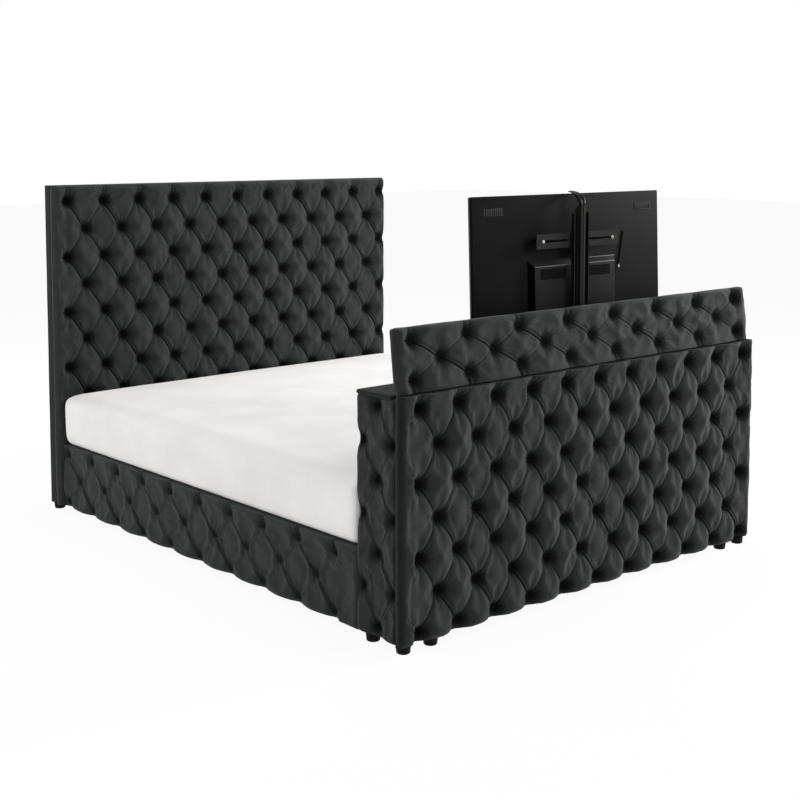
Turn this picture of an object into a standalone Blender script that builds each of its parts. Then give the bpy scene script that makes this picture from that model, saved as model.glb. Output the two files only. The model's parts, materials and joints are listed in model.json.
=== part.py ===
# TV bed: button-tufted headboard, padded side rails, and a footboard cabinet with a television lift.
# Metres, +Z up. X runs across the bed, +Y runs from the foot to the head, the floor is Z = 0.
import math

import bmesh
import bpy
from mathutils import Matrix, Vector

# Clearances shared by the whole bed
GAP = 0.0003                    # between faces that touch
CUT_OVERRUN = 0.01              # how far a cutter runs past what it cuts

# Mattress and the overall plan
MATTRESS_WIDTH = 1.965
MATTRESS_LENGTH = 2.150
MATTRESS_HEIGHT = 0.238         # at its edges
MATTRESS_CROWN = 0.020          # how much its middle stands above its edges
MATTRESS_EDGE_RADIUS = 0.042
MATTRESS_DRAW_IN = 0.012        # how far its sides draw in halfway between the corners
MATTRESS_END_ROOM = 0.0115      # free room at the head and at the foot
MATTRESS_BOTTOM = 0.329
RAIL_OVERHANG = 0.0175          # rails stand out past the mattress on each side
CABINET_OVERHANG = 0.002        # cabinet stands out past the rails
HEADBOARD_OVERHANG = 0.007      # headboard stands out past the rails

# Feet
FOOT_HEIGHT = 0.027
FOOT_RADIUS = 0.027
FOOT_BASE_RADIUS = 0.024
FOOT_SIDE_INSET = 0.031
CABINET_FOOT_FRONT_INSET = 0.043
CABINET_FOOT_REAR_INSET = 0.202
CABINET_INNER_FOOT_INSET = 0.157

# Headboard
HEADBOARD_HEIGHT = 1.539
HEADBOARD_PAD_THICKNESS = 0.045
HEADBOARD_BOARD_THICKNESS = 0.018
HEADBOARD_POST_DEPTH = 0.040
HEADBOARD_POST_WIDTH = 0.090
HEADBOARD_BACK_THICKNESS = 0.008
HEADBOARD_COLUMNS = 11
HEADBOARD_SIDE_MARGIN = 0.047
HEADBOARD_TOP_MARGIN = 0.074
HEADBOARD_ROW_SPACING = 0.1309
HEADBOARD_PLAIN_HEIGHT = 0.310  # flat stretch low down that the rails and the beam butt against
HEADBOARD_TUFT_DEPTH = 0.033

# Side rails and what they carry
RAIL_TOP = 0.318
RAIL_PAD_THICKNESS = 0.030
RAIL_BOARD_THICKNESS = 0.025
RAIL_COLUMNS = 10
RAIL_FOOT_END_MARGIN = 0.142
RAIL_HEAD_END_MARGIN = 0.031
RAIL_TOP_MARGIN = 0.048
RAIL_BOTTOM_MARGIN = 0.021
RAIL_ROWS = 3
RAIL_TUFT_DEPTH = 0.021
LEDGE_WIDTH = 0.022
LEDGE_HEIGHT = 0.035
SLAT_COUNT = 13
SLAT_WIDTH = 0.070
SLAT_THICKNESS = 0.020
SLAT_END_ROOM = 0.002
STRAP_WIDTH = 0.025
STRAP_THICKNESS = 0.002
STRAP_SINK = 0.0008             # how deep the webbing is sewn into each slat
STRAP_SIDE_SHARES = (0.25, 0.75)
BEAM_WIDTH = 0.045
BEAM_HEIGHT = 0.070
BEAM_LEG_RADIUS = 0.022
BEAM_LEG_SHARES = (0.30, 0.70)
BRACKET_THICKNESS = 0.003
BRACKET_ARM = 0.050
BRACKET_HEIGHT = 0.120
BRACKET_BOTTOM = 0.110

# Footboard cabinet
CABINET_TOP = 0.890
CABINET_DEPTH = 0.259
FRONT_PAD_THICKNESS = 0.050
FRONT_BOARD_THICKNESS = 0.022
FRONT_COLUMNS = 11
FRONT_ROWS = 7
FRONT_SIDE_MARGIN = 0.067
FRONT_TOP_MARGIN = 0.044
FRONT_BOTTOM_MARGIN = 0.042
FRONT_TUFT_DEPTH = 0.036
SIDE_PAD_THICKNESS = 0.0267
SIDE_PAD_SETBACK = 0.076        # the pad starts this far behind the front face
SIDE_ROWS = 7
SIDE_COLUMNS = 2
SIDE_EDGE_MARGIN = 0.023
SIDE_TUFT_DEPTH = 0.019
PANEL_THICKNESS = 0.018
TOP_CAP_THICKNESS = 0.016
DIVIDER_THICKNESS = 0.015

# Television
TV_WIDTH = 1.083
TV_HEIGHT = 0.630
TV_ABOVE_CABINET = 0.027
TV_REAR_THICKNESS = 0.007
TV_SCREEN_THICKNESS = 0.0067
TV_SCREEN_INSET = 0.002
TV_TILT = 2.0                   # degrees, the top leans towards the bed
BAY_SIDE_ROOM = 0.0585
ELECTRONICS_WIDTH = 0.500
ELECTRONICS_HEIGHT = 0.355
ELECTRONICS_DEPTH = 0.022
ELECTRONICS_RISE = 0.028        # above the television's lower edge

# Television lift
MAST_SETBACK = 0.0982           # front of the mast behind the cabinet's front face
MAST_RIB_WIDTH = 0.046
MAST_DEPTH = 0.0218
MAST_WALL = 0.003
MAST_FLANGE_WIDTH = 0.086
MAST_FLANGE_THICKNESS = 0.0035
MAST_TOP_DROP = 0.047           # the mast ends this far under the television's top
MAST_LID_PLATE = 0.004          # closed end of the mast
GUIDE_RISE = 0.009              # the nose stands this far above the television's top
GUIDE_THICKNESS = 0.003
GUIDE_REACH = 0.066
GUIDE_FOOT = 0.010              # straight stretch where the nose stands on the mast
GUIDE_STEPS = 8
HIDE_DEPTH = 0.024              # how far the nose sinks under the cabinet's top
COLUMN_HALF_ROOM = 0.003        # mast flange to column wall
COLUMN_WALL = 0.003
COLUMN_FRONT_ROOM = 0.0037
COLUMN_BACK_ROOM = 0.0005
COLUMN_DROP = 0.035             # column top under the cabinet's top
BASE_WIDTH = 0.320
BASE_BACK_ROOM = 0.030          # base plate to the cabinet's back board
BASE_THICKNESS = 0.006
SLIDER_HEIGHT = 0.020
SLIDER_ROOM = 0.0005
SLIDER_STOP_ROOM = 0.011
TUBE_RADIUS = 0.0065
TUBE_BORE_RADIUS = 0.0048
TUBE_ABOVE_SLIDER = 0.045
TUBE_HOLE_ROOM = 0.001
ROD_RADIUS = 0.004
ROD_ENGAGEMENT = 0.035
MOTOR_RADIUS = 0.030
MOTOR_HEIGHT = 0.130
MOTOR_SIDE = 0.105
CROSSBAR_WIDTH = 0.475
CROSSBAR_HEIGHT = 0.056
CROSSBAR_THICKNESS = 0.003
CROSSBAR_SLOT_HEIGHT = 0.008
CROSSBAR_SLOT_LENGTH = 0.125
TV_SCREW_SPACING = 0.400        # standard television hole spacing
CROSSBAR_RISE = 0.042           # upper crossbar above the electronics cover
LOWER_CROSSBAR_DROP = 0.400     # hole rows stand this far apart
BOSS_RADIUS = 0.010

# Flap along the cabinet's top
LID_END_SETBACK = 0.012         # from the cabinet's ends
LID_HEIGHT = 0.222
LID_PAD_THICKNESS = 0.035
LID_BOARD_THICKNESS = 0.0137
LID_SEAM = 0.001                # room under the upright flap
LID_COLUMNS = 8
LID_ROWS = 3
LID_SIDE_MARGIN = 0.062
LID_END_MARGIN = 0.043
LID_TUFT_DEPTH = 0.023
LID_MAST_ROOM = 0.0005
PIN_RADIUS = 0.002
PIN_ROOM = 0.0003
KNUCKLE_RADIUS = 0.004
KNUCKLE_COUNT = 9
KNUCKLE_ROOM = 0.0005
LEAF_THICKNESS = 0.0015
LEAF_HEIGHT = 0.030
LEAF_TAB_LAP = 0.002
HINGE_SIDE_ROOM = 0.010
PIN_HEIGHT = 0.0005             # pin centre above the cabinet's top

# Softness of the tufted faces
CREASE_SHARE = 0.45             # how high a fold between two buttons stands, of the crown
CREASE_POWER = 0.7
CROWN_POWER = 0.55
EDGE_DROP_SHARE = 0.70          # how far the outer edge drops, of the tuft depth

# Edge rounding
BOARD_EDGE = 0.001
STEEL_EDGE = 0.0006
SOFT_EDGE = 0.005
FOOT_EDGE = 0.003
ROUND_SIDES = 24
SMALL_ROUND_SIDES = 12

# Sizes that follow from the ones above
BED_WIDTH = MATTRESS_WIDTH + 2 * RAIL_OVERHANG
CABINET_WIDTH = BED_WIDTH + 2 * CABINET_OVERHANG
HEADBOARD_WIDTH = BED_WIDTH + 2 * HEADBOARD_OVERHANG
RAIL_LENGTH = MATTRESS_LENGTH + 2 * MATTRESS_END_ROOM
HEADBOARD_DEPTH = (HEADBOARD_PAD_THICKNESS + HEADBOARD_BOARD_THICKNESS + HEADBOARD_POST_DEPTH
                   + HEADBOARD_BACK_THICKNESS + 3 * GAP)
BED_LENGTH = CABINET_DEPTH + RAIL_LENGTH + HEADBOARD_DEPTH
FOOT_Y = -BED_LENGTH / 2
CABINET_BACK_Y = FOOT_Y + CABINET_DEPTH
HEADBOARD_FRONT_Y = CABINET_BACK_Y + RAIL_LENGTH
UNDERSIDE = FOOT_HEIGHT + GAP
SLAT_TOP = MATTRESS_BOTTOM - GAP
SLAT_BOTTOM = SLAT_TOP - SLAT_THICKNESS
RAIL_INNER_X = BED_WIDTH / 2 - RAIL_PAD_THICKNESS - GAP - RAIL_BOARD_THICKNESS

FRONT_BOARD_Y = FOOT_Y + FRONT_PAD_THICKNESS + GAP
BAY_FRONT_Y = FRONT_BOARD_Y + FRONT_BOARD_THICKNESS
CABINET_SIDE_X = CABINET_WIDTH / 2 - SIDE_PAD_THICKNESS - GAP
CABINET_CORE_TOP = CABINET_TOP - TOP_CAP_THICKNESS - GAP
CABINET_FLOOR_TOP = UNDERSIDE + PANEL_THICKNESS
BACK_BOARD_Y = CABINET_BACK_Y - PANEL_THICKNESS
BAY_HALF_WIDTH = TV_WIDTH / 2 + BAY_SIDE_ROOM

TV_BOTTOM = CABINET_TOP + TV_ABOVE_CABINET
TV_TOP = TV_BOTTOM + TV_HEIGHT
MAST_FRONT_Y = FOOT_Y + MAST_SETBACK
MAST_BACK_Y = MAST_FRONT_Y + MAST_DEPTH
MAST_TOP = TV_TOP - MAST_TOP_DROP
GUIDE_TOP = TV_TOP + GUIDE_RISE
LIFT_TRAVEL = GUIDE_TOP - CABINET_TOP + HIDE_DEPTH
BASE_TOP = CABINET_FLOOR_TOP + GAP + BASE_THICKNESS
SLIDER_BOTTOM = BASE_TOP + SLIDER_STOP_ROOM + LIFT_TRAVEL
MAST_BOTTOM = SLIDER_BOTTOM + SLIDER_HEIGHT + GAP
COLUMN_TOP = CABINET_TOP - COLUMN_DROP
TUBE_Y = MAST_FRONT_Y + (MAST_WALL + MAST_DEPTH - MAST_FLANGE_THICKNESS) / 2
TUBE_TOP = SLIDER_BOTTOM + TUBE_ABOVE_SLIDER
UPPER_CROSSBAR_HEIGHT = TV_BOTTOM + ELECTRONICS_RISE + ELECTRONICS_HEIGHT + CROSSBAR_RISE
CROSSBAR_FRONT_Y = MAST_BACK_Y + GAP
CROSSBAR_BACK_Y = CROSSBAR_FRONT_Y + CROSSBAR_THICKNESS
LOWER_CROSSBAR_HEIGHT = UPPER_CROSSBAR_HEIGHT - LOWER_CROSSBAR_DROP

LID_WIDTH = CABINET_WIDTH - 2 * LID_END_SETBACK
PIN_Y = BAY_FRONT_Y + GAP + KNUCKLE_RADIUS
PIN_Z = CABINET_TOP + PIN_HEIGHT
PIN_TO_LID = KNUCKLE_RADIUS + GAP
LID_REACH = math.hypot(LID_HEIGHT + LID_SEAM, PIN_TO_LID)
LID_LEAN = (math.asin((MAST_FRONT_Y - LID_MAST_ROOM - PIN_Y) / LID_REACH)
            + math.atan(PIN_TO_LID / (LID_HEIGHT + LID_SEAM)))


def new_collection(name):
    collection = bpy.data.collections.new(name)
    bpy.context.scene.collection.children.link(collection)
    return collection


def material(name, color, roughness, metallic=0.0):
    made = bpy.data.materials.new(name)
    made.use_nodes = True
    shader = made.node_tree.nodes["Principled BSDF"]
    shader.inputs["Base Color"].default_value = (*color, 1)
    shader.inputs["Roughness"].default_value = roughness
    shader.inputs["Metallic"].default_value = metallic
    made.diffuse_color = (*color, 1)
    return made


def add_object(name, mesh, finish, parent=None, collection=None):
    made = bpy.data.objects.new(name, mesh)
    (collection or parts).objects.link(made)
    if finish:
        mesh.materials.append(finish)
    made.parent = parent
    return made


def mesh_from(name, work):
    mesh = bpy.data.meshes.new(name)
    work.to_mesh(mesh)
    work.free()
    return mesh


def add_block(work, low, high):
    """Adds a box between two corners to a mesh that is being made."""
    low, high = Vector(low), Vector(high)
    size = Matrix.Diagonal((*(high - low), 1))
    bmesh.ops.create_cube(work, size=1, matrix=Matrix.Translation((low + high) / 2) @ size)


def add_round(work, centre, radius, length, axis="Z", sides=ROUND_SIDES, end_radius=None):
    """Adds a closed cylinder or cone that starts at centre and runs along +axis."""
    turn = {"Z": Matrix.Identity(4), "X": Matrix.Rotation(math.pi / 2, 4, "Y"),
            "Y": Matrix.Rotation(-math.pi / 2, 4, "X")}[axis]
    middle = Matrix.Translation(Vector(centre)) @ turn @ Matrix.Translation((0, 0, length / 2))
    bmesh.ops.create_cone(work, cap_ends=True, segments=sides, radius1=radius,
                          radius2=radius if end_radius is None else end_radius,
                          depth=length, matrix=middle)


def soften(made, width, segments=1):
    bevel = made.modifiers.new("Rounded edges", "BEVEL")
    bevel.width = width
    bevel.segments = segments
    bevel.limit_method = "ANGLE"
    bevel.angle_limit = math.radians(40)
    return made


def block(name, finish, x, y, z, edge=BOARD_EDGE, parent=None, collection=None):
    """A box given by its ranges along x, y and z."""
    work = bmesh.new()
    add_block(work, (x[0], y[0], z[0]), (x[1], y[1], z[1]))
    made = add_object(name, mesh_from(name, work), finish, parent, collection)
    return soften(made, edge) if edge else made


def round_bar(name, finish, centre, radius, length, axis="Z", sides=ROUND_SIDES, end_radius=None,
              edge=0, parent=None, collection=None):
    work = bmesh.new()
    add_round(work, centre, radius, length, axis, sides, end_radius)
    made = add_object(name, mesh_from(name, work), finish, parent, collection)
    made.data.shade_smooth()
    made.data.set_sharp_from_angle(angle=math.radians(35))
    return soften(made, edge) if edge else made


def shape_by(made, operation, tool):
    """Cuts, or joins, an object with a tool that isn't part of the bed."""
    tool.hide_render = True
    tool.display_type = "WIRE"
    boolean = made.modifiers.new(operation.title(), "BOOLEAN")
    boolean.operation = operation
    boolean.object = tool
    boolean.solver = "EXACT"
    return made


def tuft_height(across, up):
    """Height of a diamond-tufted face, 0 at a button and 1 on a crown; across counts button spacings
    and up counts pairs of rows, so buttons lie where both are whole or both are halves."""
    one = abs(math.sin(math.pi * (across + up)))
    other = abs(math.sin(math.pi * (across - up)))
    return (CREASE_SHARE * max(one, other) ** CREASE_POWER
            + (1 - CREASE_SHARE) * (one * other) ** CROWN_POWER)


def stations(first, step, count, low, high):
    """Grid lines of a tufted face: its two edges, and count lines from first at an even step."""
    return [low] + [first + step * k for k in range(count)] + [high]


def tufted_pad(name, finish, width, height, thickness, depth, columns, rows, left, right, bottom, top,
               location, turn=0.0, parent=None, full_first=True, plain=0.0):
    """A pad with diamond tufting on its -Y face and a flat back. Its lower left back corner is the
    object's origin. left, right, bottom and top are the margins to the outermost buttons; the lowest
    row has a button at every column only if full_first; plain is the height of a flat stretch at the
    bottom edge."""
    spacing = (width - left - right) / (columns - 1)
    row_step = (height - bottom - top) / (rows - 1)
    lines_x = stations(left, spacing / 4, 4 * (columns - 1) + 1, 0, width)
    lines_z = stations(bottom, row_step / 2, 2 * (rows - 1) + 1, 0, height)
    if plain:
        lines_z.insert(1, plain)
    row_shift = 0 if full_first else 0.5
    face_drop = depth * EDGE_DROP_SHARE

    def face_y(i, k):
        x, z = lines_x[i], lines_z[k]
        if i in (0, len(lines_x) - 1) or k == len(lines_z) - 1:
            return -(thickness - face_drop)
        if plain and z <= plain:
            return -thickness
        if k == 0:
            return -(thickness - face_drop)
        share = tuft_height((x - left) / spacing + row_shift, (z - bottom) / (2 * row_step))
        return -(thickness - depth * (1 - share))

    work = bmesh.new()
    bmesh.ops.create_grid(work, x_segments=len(lines_x) - 1, y_segments=len(lines_z) - 1, size=1)
    for index, vert in enumerate(work.verts):
        k, i = divmod(index, len(lines_x))
        vert.co = (lines_x[i], face_y(i, k), lines_z[k])
    rim = [edge for edge in work.edges if edge.is_boundary]
    walls = bmesh.ops.extrude_edge_only(work, edges=rim)["geom"]
    back = [item for item in walls if isinstance(item, bmesh.types.BMVert)]
    for vert in back:
        vert.co.y = 0
    middle = Vector((width / 2, 0, height / 2))
    corners = {}
    for vert in sorted(back, key=lambda vert: (vert.co - middle).length):
        corners[vert.co.x > middle.x, vert.co.z > middle.z] = vert
    nearest = {vert: corners[vert.co.x > middle.x, vert.co.z > middle.z] for vert in back}
    moves = {vert: corner for vert, corner in nearest.items() if vert is not corner}
    bmesh.ops.weld_verts(work, targetmap=moves)
    bmesh.ops.contextual_create(work, geom=[edge for edge in work.edges if edge.is_boundary])
    bmesh.ops.recalc_face_normals(work, faces=work.faces)
    bmesh.ops.triangulate(work, faces=work.faces)
    pad = add_object(name, mesh_from(name, work), finish, parent)
    pad.location = location
    pad.rotation_euler.z = turn
    return pad


def foot(name, x, y):
    return round_bar(name, black_plastic, (x, y, 0), FOOT_BASE_RADIUS, FOOT_HEIGHT,
                     end_radius=FOOT_RADIUS, edge=FOOT_EDGE)


def make_headboard():
    half = HEADBOARD_WIDTH / 2
    height = HEADBOARD_HEIGHT - UNDERSIDE
    rows = 1 + int((height - HEADBOARD_TOP_MARGIN - HEADBOARD_PLAIN_HEIGHT) / HEADBOARD_ROW_SPACING)
    bottom_margin = height - HEADBOARD_TOP_MARGIN - (rows - 1) * HEADBOARD_ROW_SPACING
    board_front = HEADBOARD_FRONT_Y + HEADBOARD_PAD_THICKNESS + GAP
    post_front = board_front + HEADBOARD_BOARD_THICKNESS + GAP
    posts = (post_front, post_front + HEADBOARD_POST_DEPTH)
    whole = (UNDERSIDE, HEADBOARD_HEIGHT)
    inner_x = half - HEADBOARD_POST_WIDTH

    tufted_pad("headboard_pad", velvet, HEADBOARD_WIDTH, height, HEADBOARD_PAD_THICKNESS,
               HEADBOARD_TUFT_DEPTH, HEADBOARD_COLUMNS, rows, HEADBOARD_SIDE_MARGIN,
               HEADBOARD_SIDE_MARGIN, bottom_margin, HEADBOARD_TOP_MARGIN,
               (-half, board_front - GAP, UNDERSIDE), full_first=rows % 2 == 1,
               plain=HEADBOARD_PLAIN_HEIGHT)
    block("headboard_board", plywood, (-half, half), (board_front, post_front - GAP), whole)
    block("headboard_top_rail", velvet, (GAP - inner_x, inner_x - GAP), posts,
          (HEADBOARD_HEIGHT - HEADBOARD_POST_WIDTH, HEADBOARD_HEIGHT))
    block("headboard_back_cover", velvet, (-half, half),
          (posts[1] + GAP, posts[1] + GAP + HEADBOARD_BACK_THICKNESS), whole)
    for side, sign in SIDES:
        block("headboard_post_" + side, velvet, sorted((sign * inner_x, sign * half)), posts, whole)
        foot("headboard_foot_" + side, sign * (half - FOOT_SIDE_INSET), sum(posts) / 2)


def make_rail(side, sign):
    """One side rail with its padding, the ledge for the slats, and its two end brackets."""
    outer = BED_WIDTH / 2
    ends = (CABINET_BACK_Y + GAP, HEADBOARD_FRONT_Y - GAP)
    length = ends[1] - ends[0]
    board = sorted((sign * RAIL_INNER_X, sign * (RAIL_INNER_X + RAIL_BOARD_THICKNESS)))
    block("side_rail_" + side, timber, board, ends, (UNDERSIDE, RAIL_TOP - GAP))

    margins = (RAIL_FOOT_END_MARGIN, RAIL_HEAD_END_MARGIN)
    back_x = sign * (outer - RAIL_PAD_THICKNESS)
    if sign < 0:
        margins, corner = margins[::-1], (back_x, ends[1], UNDERSIDE)
    else:
        corner = (back_x, ends[0], UNDERSIDE)
    tufted_pad("rail_pad_" + side, velvet, length, RAIL_TOP - UNDERSIDE, RAIL_PAD_THICKNESS,
               RAIL_TUFT_DEPTH, RAIL_COLUMNS, RAIL_ROWS, margins[0], margins[1], RAIL_BOTTOM_MARGIN,
               RAIL_TOP_MARGIN, corner, turn=sign * math.pi / 2)

    ledge = sorted((sign * (RAIL_INNER_X - GAP), sign * (RAIL_INNER_X - GAP - LEDGE_WIDTH)))
    ledge_top = SLAT_BOTTOM - GAP
    block("slat_ledge_" + side, timber, ledge, ends, (ledge_top - LEDGE_HEIGHT, ledge_top))

    for place, wall_y, inward in (("foot", ends[0], 1), ("head", ends[1], -1)):
        rail_face = sign * (RAIL_INNER_X - GAP)
        plate = BRACKET_THICKNESS
        low, high = BRACKET_BOTTOM, BRACKET_BOTTOM + BRACKET_HEIGHT
        name = "rail_bracket_" + side + "_" + place
        bracket = block(name, steel, sorted((rail_face, rail_face - sign * plate)),
                        sorted((wall_y, wall_y + inward * BRACKET_ARM)), (low, high), edge=0)
        arm = block(name + "_arm", None, sorted((rail_face, rail_face - sign * BRACKET_ARM)),
                    sorted((wall_y, wall_y + inward * plate)), (low, high), edge=0,
                    collection=cutters)
        shape_by(bracket, "UNION", arm)


def make_slat_roll(side, sign):
    """Half of the deck: slats from the rail's ledge to the centre beam, sewn on two straps."""
    outer = RAIL_INNER_X - SLAT_END_ROOM
    span = outer - SLAT_END_ROOM
    pitch = RAIL_LENGTH / SLAT_COUNT
    slats = bmesh.new()
    for k in range(SLAT_COUNT):
        y = CABINET_BACK_Y + pitch * (k + 0.5)
        x = sorted((sign * SLAT_END_ROOM, sign * outer))
        add_block(slats, (x[0], y - SLAT_WIDTH / 2, SLAT_BOTTOM), (x[1], y + SLAT_WIDTH / 2, SLAT_TOP))
    roll = add_object("slat_roll_" + side, mesh_from("slat_roll_" + side, slats), beech)
    reach = (SLAT_COUNT - 1) * pitch / 2
    middle = CABINET_BACK_Y + RAIL_LENGTH / 2
    for share in STRAP_SIDE_SHARES:
        x = sign * (SLAT_END_ROOM + span * share)
        strap = block("slat_strap", None, (x - STRAP_WIDTH / 2, x + STRAP_WIDTH / 2),
                      (middle - reach, middle + reach),
                      (SLAT_BOTTOM - STRAP_THICKNESS, SLAT_BOTTOM + STRAP_SINK), edge=0,
                      collection=cutters)
        shape_by(roll, "UNION", strap)


def make_base():
    for side, sign in SIDES:
        make_rail(side, sign)
        make_slat_roll(side, sign)
    beam_top = SLAT_BOTTOM - GAP
    block("centre_beam", timber, (-BEAM_WIDTH / 2, BEAM_WIDTH / 2),
          (CABINET_BACK_Y + GAP, HEADBOARD_FRONT_Y - GAP), (beam_top - BEAM_HEIGHT, beam_top))
    for place, share in zip(("foot", "head"), BEAM_LEG_SHARES):
        round_bar("beam_leg_" + place, black_plastic, (0, CABINET_BACK_Y + RAIL_LENGTH * share, 0),
                  BEAM_LEG_RADIUS, beam_top - BEAM_HEIGHT - GAP, edge=STEEL_EDGE)
    make_mattress()


def make_mattress():
    """A block whose top and bottom are crowned and whose sides draw in, with rounded edges."""
    half = Vector((MATTRESS_WIDTH / 2, MATTRESS_LENGTH / 2, MATTRESS_HEIGHT / 2))
    work = bmesh.new()
    bmesh.ops.create_cube(work, size=2)
    bmesh.ops.subdivide_edges(work, edges=work.edges, cuts=5, use_grid_fill=True)
    for vert in work.verts:
        a, b, c = vert.co
        x = a * (half.x - MATTRESS_DRAW_IN * (1 - b * b) * abs(a))
        y = b * (half.y - MATTRESS_DRAW_IN * (1 - a * a) * abs(b))
        z = c * half.z + (MATTRESS_CROWN * (1 - a * a) * (1 - b * b) if c == 1 else 0)
        vert.co = (x, y, z)
    mattress = add_object("mattress", mesh_from("mattress", work), ticking)
    mattress.location = (0, CABINET_BACK_Y + RAIL_LENGTH / 2, MATTRESS_BOTTOM + half.z)
    rounded = soften(mattress, MATTRESS_EDGE_RADIUS, segments=3)
    rounded.modifiers["Rounded edges"].angle_limit = math.radians(60)
    mattress.data.shade_smooth()


def make_cabinet():
    half = CABINET_WIDTH / 2
    pad_height = CABINET_TOP - UNDERSIDE
    tufted_pad("front_pad", velvet, CABINET_WIDTH, pad_height, FRONT_PAD_THICKNESS, FRONT_TUFT_DEPTH,
               FRONT_COLUMNS, FRONT_ROWS, FRONT_SIDE_MARGIN, FRONT_SIDE_MARGIN, FRONT_BOTTOM_MARGIN,
               FRONT_TOP_MARGIN, (-half, FOOT_Y + FRONT_PAD_THICKNESS, UNDERSIDE))
    block("cabinet_front_board", plywood, (-CABINET_SIDE_X, CABINET_SIDE_X),
          (FRONT_BOARD_Y, BAY_FRONT_Y), (UNDERSIDE, CABINET_TOP - GAP))

    inner_x = CABINET_SIDE_X - PANEL_THICKNESS
    inside_front = BAY_FRONT_Y + GAP
    block("cabinet_back_board", velvet, (-inner_x + GAP, inner_x - GAP), (BACK_BOARD_Y, CABINET_BACK_Y),
          (UNDERSIDE, CABINET_CORE_TOP))
    block("cabinet_floor", plywood, (-inner_x + GAP, inner_x - GAP), (inside_front, BACK_BOARD_Y - GAP),
          (UNDERSIDE, CABINET_FLOOR_TOP))

    side_depth = CABINET_DEPTH - SIDE_PAD_SETBACK
    row_room = (pad_height - FRONT_TOP_MARGIN - FRONT_BOTTOM_MARGIN) / (SIDE_ROWS - 1)
    side_height = CABINET_CORE_TOP - UNDERSIDE
    for side, sign in SIDES:
        block("cabinet_side_" + side, velvet, sorted((sign * inner_x, sign * CABINET_SIDE_X)),
              (inside_front, CABINET_BACK_Y), (UNDERSIDE, CABINET_CORE_TOP))
        back_x = sign * (half - SIDE_PAD_THICKNESS)
        start_y = CABINET_BACK_Y if sign < 0 else CABINET_BACK_Y - side_depth
        tufted_pad("side_pad_" + side, velvet, side_depth, side_height, SIDE_PAD_THICKNESS,
                   SIDE_TUFT_DEPTH, SIDE_COLUMNS, SIDE_ROWS, SIDE_EDGE_MARGIN, SIDE_EDGE_MARGIN,
                   FRONT_BOTTOM_MARGIN, side_height - FRONT_BOTTOM_MARGIN - (SIDE_ROWS - 1) * row_room,
                   (back_x, start_y, UNDERSIDE), turn=sign * math.pi / 2, full_first=False)
        block("cabinet_divider_" + side, plywood,
              sorted((sign * BAY_HALF_WIDTH, sign * (BAY_HALF_WIDTH + DIVIDER_THICKNESS))),
              (inside_front, BACK_BOARD_Y - GAP), (CABINET_FLOOR_TOP + GAP, CABINET_CORE_TOP))
        block("cabinet_top_" + side, velvet, sorted((sign * BAY_HALF_WIDTH, sign * half)),
              (inside_front, CABINET_BACK_Y), (CABINET_TOP - TOP_CAP_THICKNESS, CABINET_TOP),
              edge=SOFT_EDGE)
        outer_x = half - FOOT_SIDE_INSET
        for place, x, y in (("front", outer_x, CABINET_FOOT_FRONT_INSET),
                            ("inner", half - CABINET_INNER_FOOT_INSET, CABINET_FOOT_FRONT_INSET),
                            ("rear", outer_x, CABINET_FOOT_REAR_INSET)):
            foot("cabinet_foot_" + side + "_" + place, sign * x, FOOT_Y + y)


def make_lift_base():
    """What stays put when the television rises: base plate, column, actuator tube and motor."""
    base_z = CABINET_FLOOR_TOP + GAP
    on_base = BASE_TOP + GAP
    base_front = FOOT_Y + MAST_SETBACK - COLUMN_FRONT_ROOM - COLUMN_WALL - BOARD_EDGE
    block("lift_base_plate", steel, (-BASE_WIDTH / 2, BASE_WIDTH / 2),
          (base_front, BACK_BOARD_Y - BASE_BACK_ROOM), (base_z, BASE_TOP), edge=STEEL_EDGE)

    inner_half = MAST_FLANGE_WIDTH / 2 + COLUMN_HALF_ROOM
    inner_front = MAST_FRONT_Y - COLUMN_FRONT_ROOM
    column = block("lift_column", dark_steel, (-inner_half - COLUMN_WALL, inner_half + COLUMN_WALL),
                   (inner_front - COLUMN_WALL, MAST_BACK_Y - COLUMN_BACK_ROOM),
                   (on_base, COLUMN_TOP), edge=0)
    channel = block("lift_column_channel", None, (-inner_half, inner_half),
                    (inner_front, MAST_BACK_Y + CUT_OVERRUN),
                    (on_base - CUT_OVERRUN, COLUMN_TOP + CUT_OVERRUN), edge=0, collection=cutters)
    shape_by(column, "DIFFERENCE", channel)

    tube = round_bar("actuator_tube", steel, (0, TUBE_Y, on_base), TUBE_RADIUS, TUBE_TOP - on_base,
                     sides=SMALL_ROUND_SIDES)
    bore = round_bar("actuator_bore", None, (0, TUBE_Y, on_base + CUT_OVERRUN), TUBE_BORE_RADIUS,
                     TUBE_TOP - on_base, sides=SMALL_ROUND_SIDES, collection=cutters)
    shape_by(tube, "DIFFERENCE", bore)
    round_bar("lift_motor", black_plastic,
              (MOTOR_SIDE, inner_front + MOTOR_RADIUS + MAST_DEPTH, on_base), MOTOR_RADIUS,
              MOTOR_HEIGHT, edge=FOOT_EDGE)


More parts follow.
